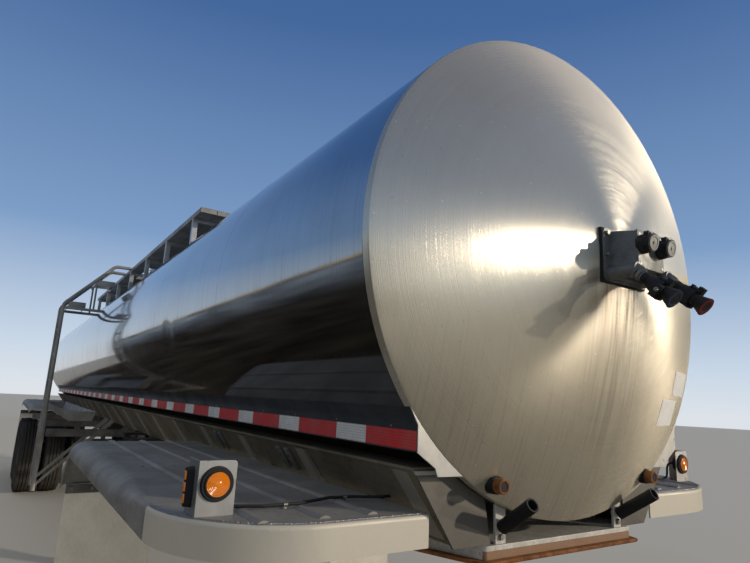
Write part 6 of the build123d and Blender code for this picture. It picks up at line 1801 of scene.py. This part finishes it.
@dataclass
class RearEnd:
    """Bumper, tail lamps, blank plate and outlet."""

    lamp_ys: tuple[float, ...] = (0.82, 0.96, 1.1)
    lamp_x: float = -6.2397
    lamp_z: float = 0.965
    lens_rings: int = 7
    plate_z: float = 0.955
    plate_size: Triple = (0.0016, 0.305, 0.152)
    plate_bolts: Pair = (0.09, 0.06)
    outlet_z: float = 1.11
    valve_xs: Pair = (-5.99, -5.86)
    valve_bolt_circle: float = 0.063
    valve_bolt_count: int = 6

    def lamps(self) -> None:
        """Sets a ringed red lens in each tail lamp's rubber grommet."""
        lenses = Piece("tail_lenses")
        for y in self.lamp_ys:
            for side in (-1, 1):
                rings = ringed(self.lens_rings, first=0.006, pitch=0.0048, depth=0.0008, top=0.0402, reach=0.041)
                profile = [(0.0, 0.0402), *rings, (0.0405, 0.0345), (0.041, 0.03), (0.0, 0.03)]
                lenses.turned(profile, (self.lamp_x, side * y, self.lamp_z), BACK, 48)
        lenses.done(RED)

    def plate(self) -> None:
        """Hangs a blank white plate between the bumper's legs."""
        plate, bolts = Piece("blank_rear_plate"), Piece("plate_bolts")
        plate.block((self.lamp_x - 0.0012, 0.0, self.plate_z), self.plate_size, 0.0004)
        across, rise = self.plate_bolts
        for side in (-1, 1):
            for way in (-1, 1):
                seat = (self.lamp_x - 0.002, side * across, self.plate_z + way * rise)
                bolts.bolt(seat, BACK, 0.01, 0.004)
        plate.done(VINYL)
        bolts.done(ZINC)

    def outlet(self) -> None:
        """Bolts the outlet valve's body together and gives it its lever."""
        bolts, lever = Piece("outlet_valve_bolts"), Piece("outlet_valve_lever")
        for x, way in zip(self.valve_xs, (-1, 1)):
            for across, rise in spread(self.valve_bolt_count, self.valve_bolt_circle, 0.5):
                bolts.bolt((x, across, self.outlet_z + rise), (way, 0, 0), 0.017, 0.009)
        middle = sum(self.valve_xs) / 2
        lever.rod((middle, 0.0, self.outlet_z + 0.07), UP, 0.014, 0.022, sides=24, bevel=0.0015)
        lever.block((middle, -0.085, self.outlet_z + 0.088), (0.024, 0.21, 0.007), 0.002)
        bolts.done(ZINC)
        lever.done(BRUSHED)

    def build(self) -> None:
        """Builds and dresses the rear end."""
        worked("rear_bumper", BUMPER, 0.002)
        worked("tail_lamps", RUBBER, 0.001)
        worked("outlet_pipe", BRUSHED, 0.001)
        self.lamps()
        self.plate()
        self.outlet()


@dataclass
class TwinWheel:
    """One pair of tyres on their wheels, with a hub, nuts and valves."""

    place: str
    body: Body
    x: float
    side: int
    axle_z: float = AXLE_Z
    tyre_ys: Pair = (1.08, 0.74)
    tread_radius: float = 0.522
    tread_drop: float = 0.009
    tread_half: float = 0.114
    half_width: float = 0.14
    waist: float = 0.4095
    flange: float = 0.302
    bead: float = 0.285
    bead_half: float = 0.102
    groove_ys: tuple[float, ...] = (-0.066, -0.022, 0.022, 0.066)
    groove_half: float = 0.006
    groove_depth: float = 0.013
    nut_circle: float = 0.1429
    nut_count: int = 10
    disc_y: float = 0.921
    cap_y: float = 1.0335
    cap_bolt_circle: float = 0.0825
    cap_bolt_count: int = 6
    valve_places: tuple[Pair, ...] = ((1.01, 0.9), (0.83, 0.9 + pi))
    valve_route: tuple[Pair, ...] = ((0.246, 0.0), (0.232, 0.003), (0.222, 0.02), (0.216, 0.075))
    wall_steps: int = 16
    moulded_rings: tuple[int, int] = (3, 12)

    def sidewall(self) -> list[Pair]:
        """Works out one sidewall, from the bead's flange out to the shoulder.

        Returns:
            Points (radius, distance from the tyre's middle), with two moulded rings.
        """
        low = Vector((self.flange, self.bead_half))
        middle = Vector((self.waist, self.half_width))
        high = Vector((self.tread_radius - self.tread_drop, self.tread_half))
        chord, rise = high - low, middle - low
        turn = 2 * (rise.x * chord.y - rise.y * chord.x)
        centre = low + Vector((
            (chord.y * rise.length_squared - rise.y * chord.length_squared) / turn,
            (rise.x * chord.length_squared - chord.x * rise.length_squared) / turn))
        radius = (low - centre).length
        start = atan2(low.y - centre.y, low.x - centre.x)
        end = atan2(high.y - centre.y, high.x - centre.x)
        points = []
        for step in range(self.wall_steps + 1):
            angle = start + (end - start) * step / self.wall_steps
            inset = 0.0022 if step in self.moulded_rings else 0.0
            points.append((centre.x + (radius - inset) * cos(angle), centre.y + (radius - inset) * sin(angle)))
        return points

    def tyres(self) -> None:
        """Turns the two tyres with their grooved treads."""
        wall = self.sidewall()
        tread: list[Pair] = []
        for middle in self.groove_ys:
            for edge, depth in ((-1, 0.0), (-0.6, self.groove_depth), (0.6, self.groove_depth), (1, 0.0)):
                y = middle + edge * self.groove_half
                tread.append((self.tread_radius - self.tread_drop * (y / self.tread_half) ** 2 - depth, y))
        profile = [(self.bead, -self.bead_half)] + [(radius, -y) for radius, y in wall] + tread + wall[::-1]
        profile += [(self.bead, self.bead_half), (self.bead, -self.bead_half)]
        piece = Piece(f"{self.place}_moulded_tyres")
        for y in self.tyre_ys:
            piece.turned(profile, (self.x, self.side * y, self.axle_z), LEFT, 120)
        made = piece.done(TYRE, self.body, sharp=30.0)
        dress(f"{self.place}_tyres", TYRE)
        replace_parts(made, f"{self.place}_tyres")

    def fasteners(self) -> None:
        """Adds the wheel nuts, the hub cap's bolts and the valves."""
        nuts, valves = Piece(f"{self.place}_wheel_nuts"), Piece(f"{self.place}_valves")
        way = Vector((0, self.side, 0))
        for ahead, rise in spread(self.nut_count, self.nut_circle, 0.5):
            at = Vector((self.x + ahead, self.side * self.disc_y, self.axle_z + rise))
            nuts.rod(at, way, 0.0215, 0.005, sides=24)
            nuts.rod(at + way * 0.005, way, 0.0188, 0.02, sides=6, bevel=0.0015)
            nuts.rod(at + way * 0.025, way, 0.0108, 0.014, sides=16, bevel=0.001)
        for ahead, rise in spread(self.cap_bolt_count, self.cap_bolt_circle):
            nuts.bolt((self.x + ahead, self.side * self.cap_y, self.axle_z + rise), way, 0.011, 0.005)
        for y, angle in self.valve_places:
            across, up = cos(angle), sin(angle)
            route = [
                (self.x + across * radius, self.side * (y + out), self.axle_z + up * radius)
                for radius, out in self.valve_route]
            valves.pipe(route, 0.0042)
            valves.rod(route[-1], way, 0.0056, 0.012, sides=12)
        nuts.done(ZINC, self.body)
        valves.done(ZINC, self.body)

    def build(self) -> None:
        """Builds and dresses one twin wheel."""
        worked(f"{self.place}_wheels", WHEELS[self.x], 0.0015, 24.0)
        self.tyres()
        self.fasteners()


@dataclass
class Studio:
    """A pale floor, soft lamps, and the camera at the photograph's place."""

    camera_at: Triple = (7.0815, -1.5614, 1.643)
    yaw: float = 2.5628
    pitch: float = 0.2125
    roll: float = -0.0482
    lens_mm: float = 26.28
    sensor_mm: float = 36.0
    floor_radius: float = 90.0
    sun_way: Triple = (0.685, 0.676, 0.271)
    sun_width: float = 1.2
    sun_strength: float = 1.6
    card_distance: float = 5.5
    card_height: float = 3.3
    soft_light: str = "#A6A8AB"
    bounce_way: Triple = (0.58, 0.811, 0.083)
    bounce_strength: float = 0.25

    def camera(self) -> None:
        """Sets the camera where the photograph was taken from."""
        level = cos(self.pitch)
        look = Vector((level * cos(self.yaw), level * sin(self.yaw), sin(self.pitch)))
        right = look.cross(Vector(UP)).normalized()
        down = look.cross(right)
        turned_right = right * cos(self.roll) + down * sin(self.roll)
        turned_down = down * cos(self.roll) - right * sin(self.roll)
        made = bpy.data.cameras.new("camera")
        made.lens, made.sensor_width = self.lens_mm, self.sensor_mm
        made.clip_start, made.clip_end = 0.05, 400.0
        holder = linked("camera", made)
        holder.matrix_world = Matrix.Translation(self.camera_at) @ Matrix(
            (turned_right, -turned_down, -look)).transposed().to_4x4()
        bpy.context.scene.camera = holder

    def floor(self) -> None:
        """Lays the pale floor."""
        part = bmesh.new()
        bmesh.ops.create_circle(part, cap_ends=True, segments=96, radius=self.floor_radius)
        mesh = baked("floor", part)
        finish = bpy.data.materials.new("pale_floor")
        tree = cleared(finish)
        shader = add(tree, "BsdfPrincipled", {"Base Color": linear("#C9C7C2"), "Roughness": 0.85})
        add(tree, "OutputMaterial", {"Surface": shader})
        mesh.materials.append(finish)
        made = linked("floor", mesh)

    def sun(self) -> None:
        """Hangs a warm key lamp low ahead of the trailer's left and its weaker bounce, which draw the head's fans."""
        for name, way, strength in (
            ("key", self.sun_way, self.sun_strength), ("bounce", self.bounce_way, self.bounce_strength),
        ):
            data = bpy.data.lights.new(name, "SUN")
            data.energy, data.angle, data.color = strength, radians(self.sun_width), linear("#FFF0DC")[:3]
            made = linked(name, data)
            made.matrix_world = turned_to(Vector(way) * 20.0, way)

    def painted_reflections(self) -> None:
        """Stands a long card beside each flank and lays one on the floor. The cards glow and show only in
        reflections: a painted reflection of dark ground, a blue band and a horizon line for the polished jacket to
        mirror.
        """
        finish = bpy.data.materials.new("painted_reflection_card")
        tree = cleared(finish)
        place = add(tree, "TexCoord").outputs["Object"]
        height = add(tree, "SeparateXYZ", {0: place})
        share = add(tree, "Math", {0: height.outputs["Z"], 1: self.card_height}, operation="DIVIDE")
        # Painted reflection: dark ground low down, then a slate and blue band, a dim line and a pale warm horizon
        # line at the top
        tones = add(tree, "ValToRGB", {"Fac": share}, stops=[
            (0.0, linear("#2E2B28")), (0.5, linear("#323130")), (0.62, linear("#4A4F56")), (0.9, linear("#7E8A98")),
            (0.95, linear("#5A5A58")), (0.97, linear("#B8A98E")), (1.0, linear("#B8A98E"))])
        drawn = add(tree, "Mapping", {"Vector": place, "Scale": (0.35, 0.6, 2.2)})
        uneven = add(tree, "TexNoise", {"Vector": drawn, "Scale": 1.0, "Detail": 4.0, "Roughness": 0.6})
        glow = add(tree, "MapRange", {
            "Value": uneven, "From Min": 0.35, "From Max": 0.72, "To Min": 0.45, "To Max": 1.6})
        # The cards glow by emission, though they are no lamps
        shader = add(tree, "Emission", {"Color": tones, "Strength": glow})
        add(tree, "OutputMaterial", {"Surface": shader})
        upright = (44.0, 0.05, self.card_height)
        for size, middle in (
            (upright, (-6.0, -self.card_distance, self.card_height / 2)),
            (upright, (-6.0, self.card_distance, self.card_height / 2)),
            ((36.0, 2 * self.card_distance, 0.01), (-8.0, 0.0, 0.012)),
        ):
            part = bmesh.new()
            bmesh.ops.create_cube(part, size=1.0, matrix=Matrix.Translation(middle) @ Matrix.Diagonal((*size, 1.0)))
            mesh = baked("painted_reflection_card", part)
            mesh.materials.append(finish)
            made = linked("painted_reflection_card", mesh)
            # Hidden from the camera, from matt surfaces and from shadows, so they show only as painted reflections
            made.visible_camera = made.visible_diffuse = made.visible_shadow = False

    def sky(self) -> None:
        """Makes the sky that the metal mirrors, and the even soft light that falls on matt surfaces."""
        world = bpy.data.worlds.new("studio_sky")
        tree = cleared(world)
        up = add(tree, "SeparateXYZ", {0: add(tree, "TexCoord").outputs["Generated"]})
        shade = add(tree, "ValToRGB", {"Fac": up.outputs["Z"]}, stops=[
            (0.0, linear("#DCE2E8")), (0.07, linear("#C7D6E6")), (0.26, linear("#7D9DC6")), (0.6, linear("#45689C")),
            (1.0, linear("#2C4A7A"))])
        matt = add(tree, "LightPath").outputs["Is Diffuse Ray"]
        colour = layered(tree, shade, [(matt, linear(self.soft_light))])
        back = add(tree, "Background", {"Color": colour, "Strength": 1.0})
        add(tree, "OutputWorld", {"Surface": back})
        bpy.context.scene.world = world

    def build(self) -> None:
        """Sets up the studio."""
        self.camera()
        self.floor()
        self.sky()
        self.sun()
        self.painted_reflections()
        bpy.context.scene.view_settings.view_transform = "Standard"


def main() -> None:
    """Builds every sub-assembly in order."""
    front, rear = AXLE_XS
    parts: list = [
        Studio(), Barrel(), RailRun(), FrameWork(), Fenders(), NoseFittings(), TopGear(), LandingGear(),
        RunningGear(), RearEnd()]
    for place, body, x, side in (
        ("front_left", Body.FRONT_LEFT, front, 1), ("front_right", Body.FRONT_RIGHT, front, -1),
        ("rear_left", Body.REAR_LEFT, rear, 1), ("rear_right", Body.REAR_RIGHT, rear, -1),
    ):
        parts.append(TwinWheel(place, body, x, side))
    for part in parts:
        LOG.info("building %s", type(part).__name__)
        part.build()


if __name__ == "__main__":
    main()
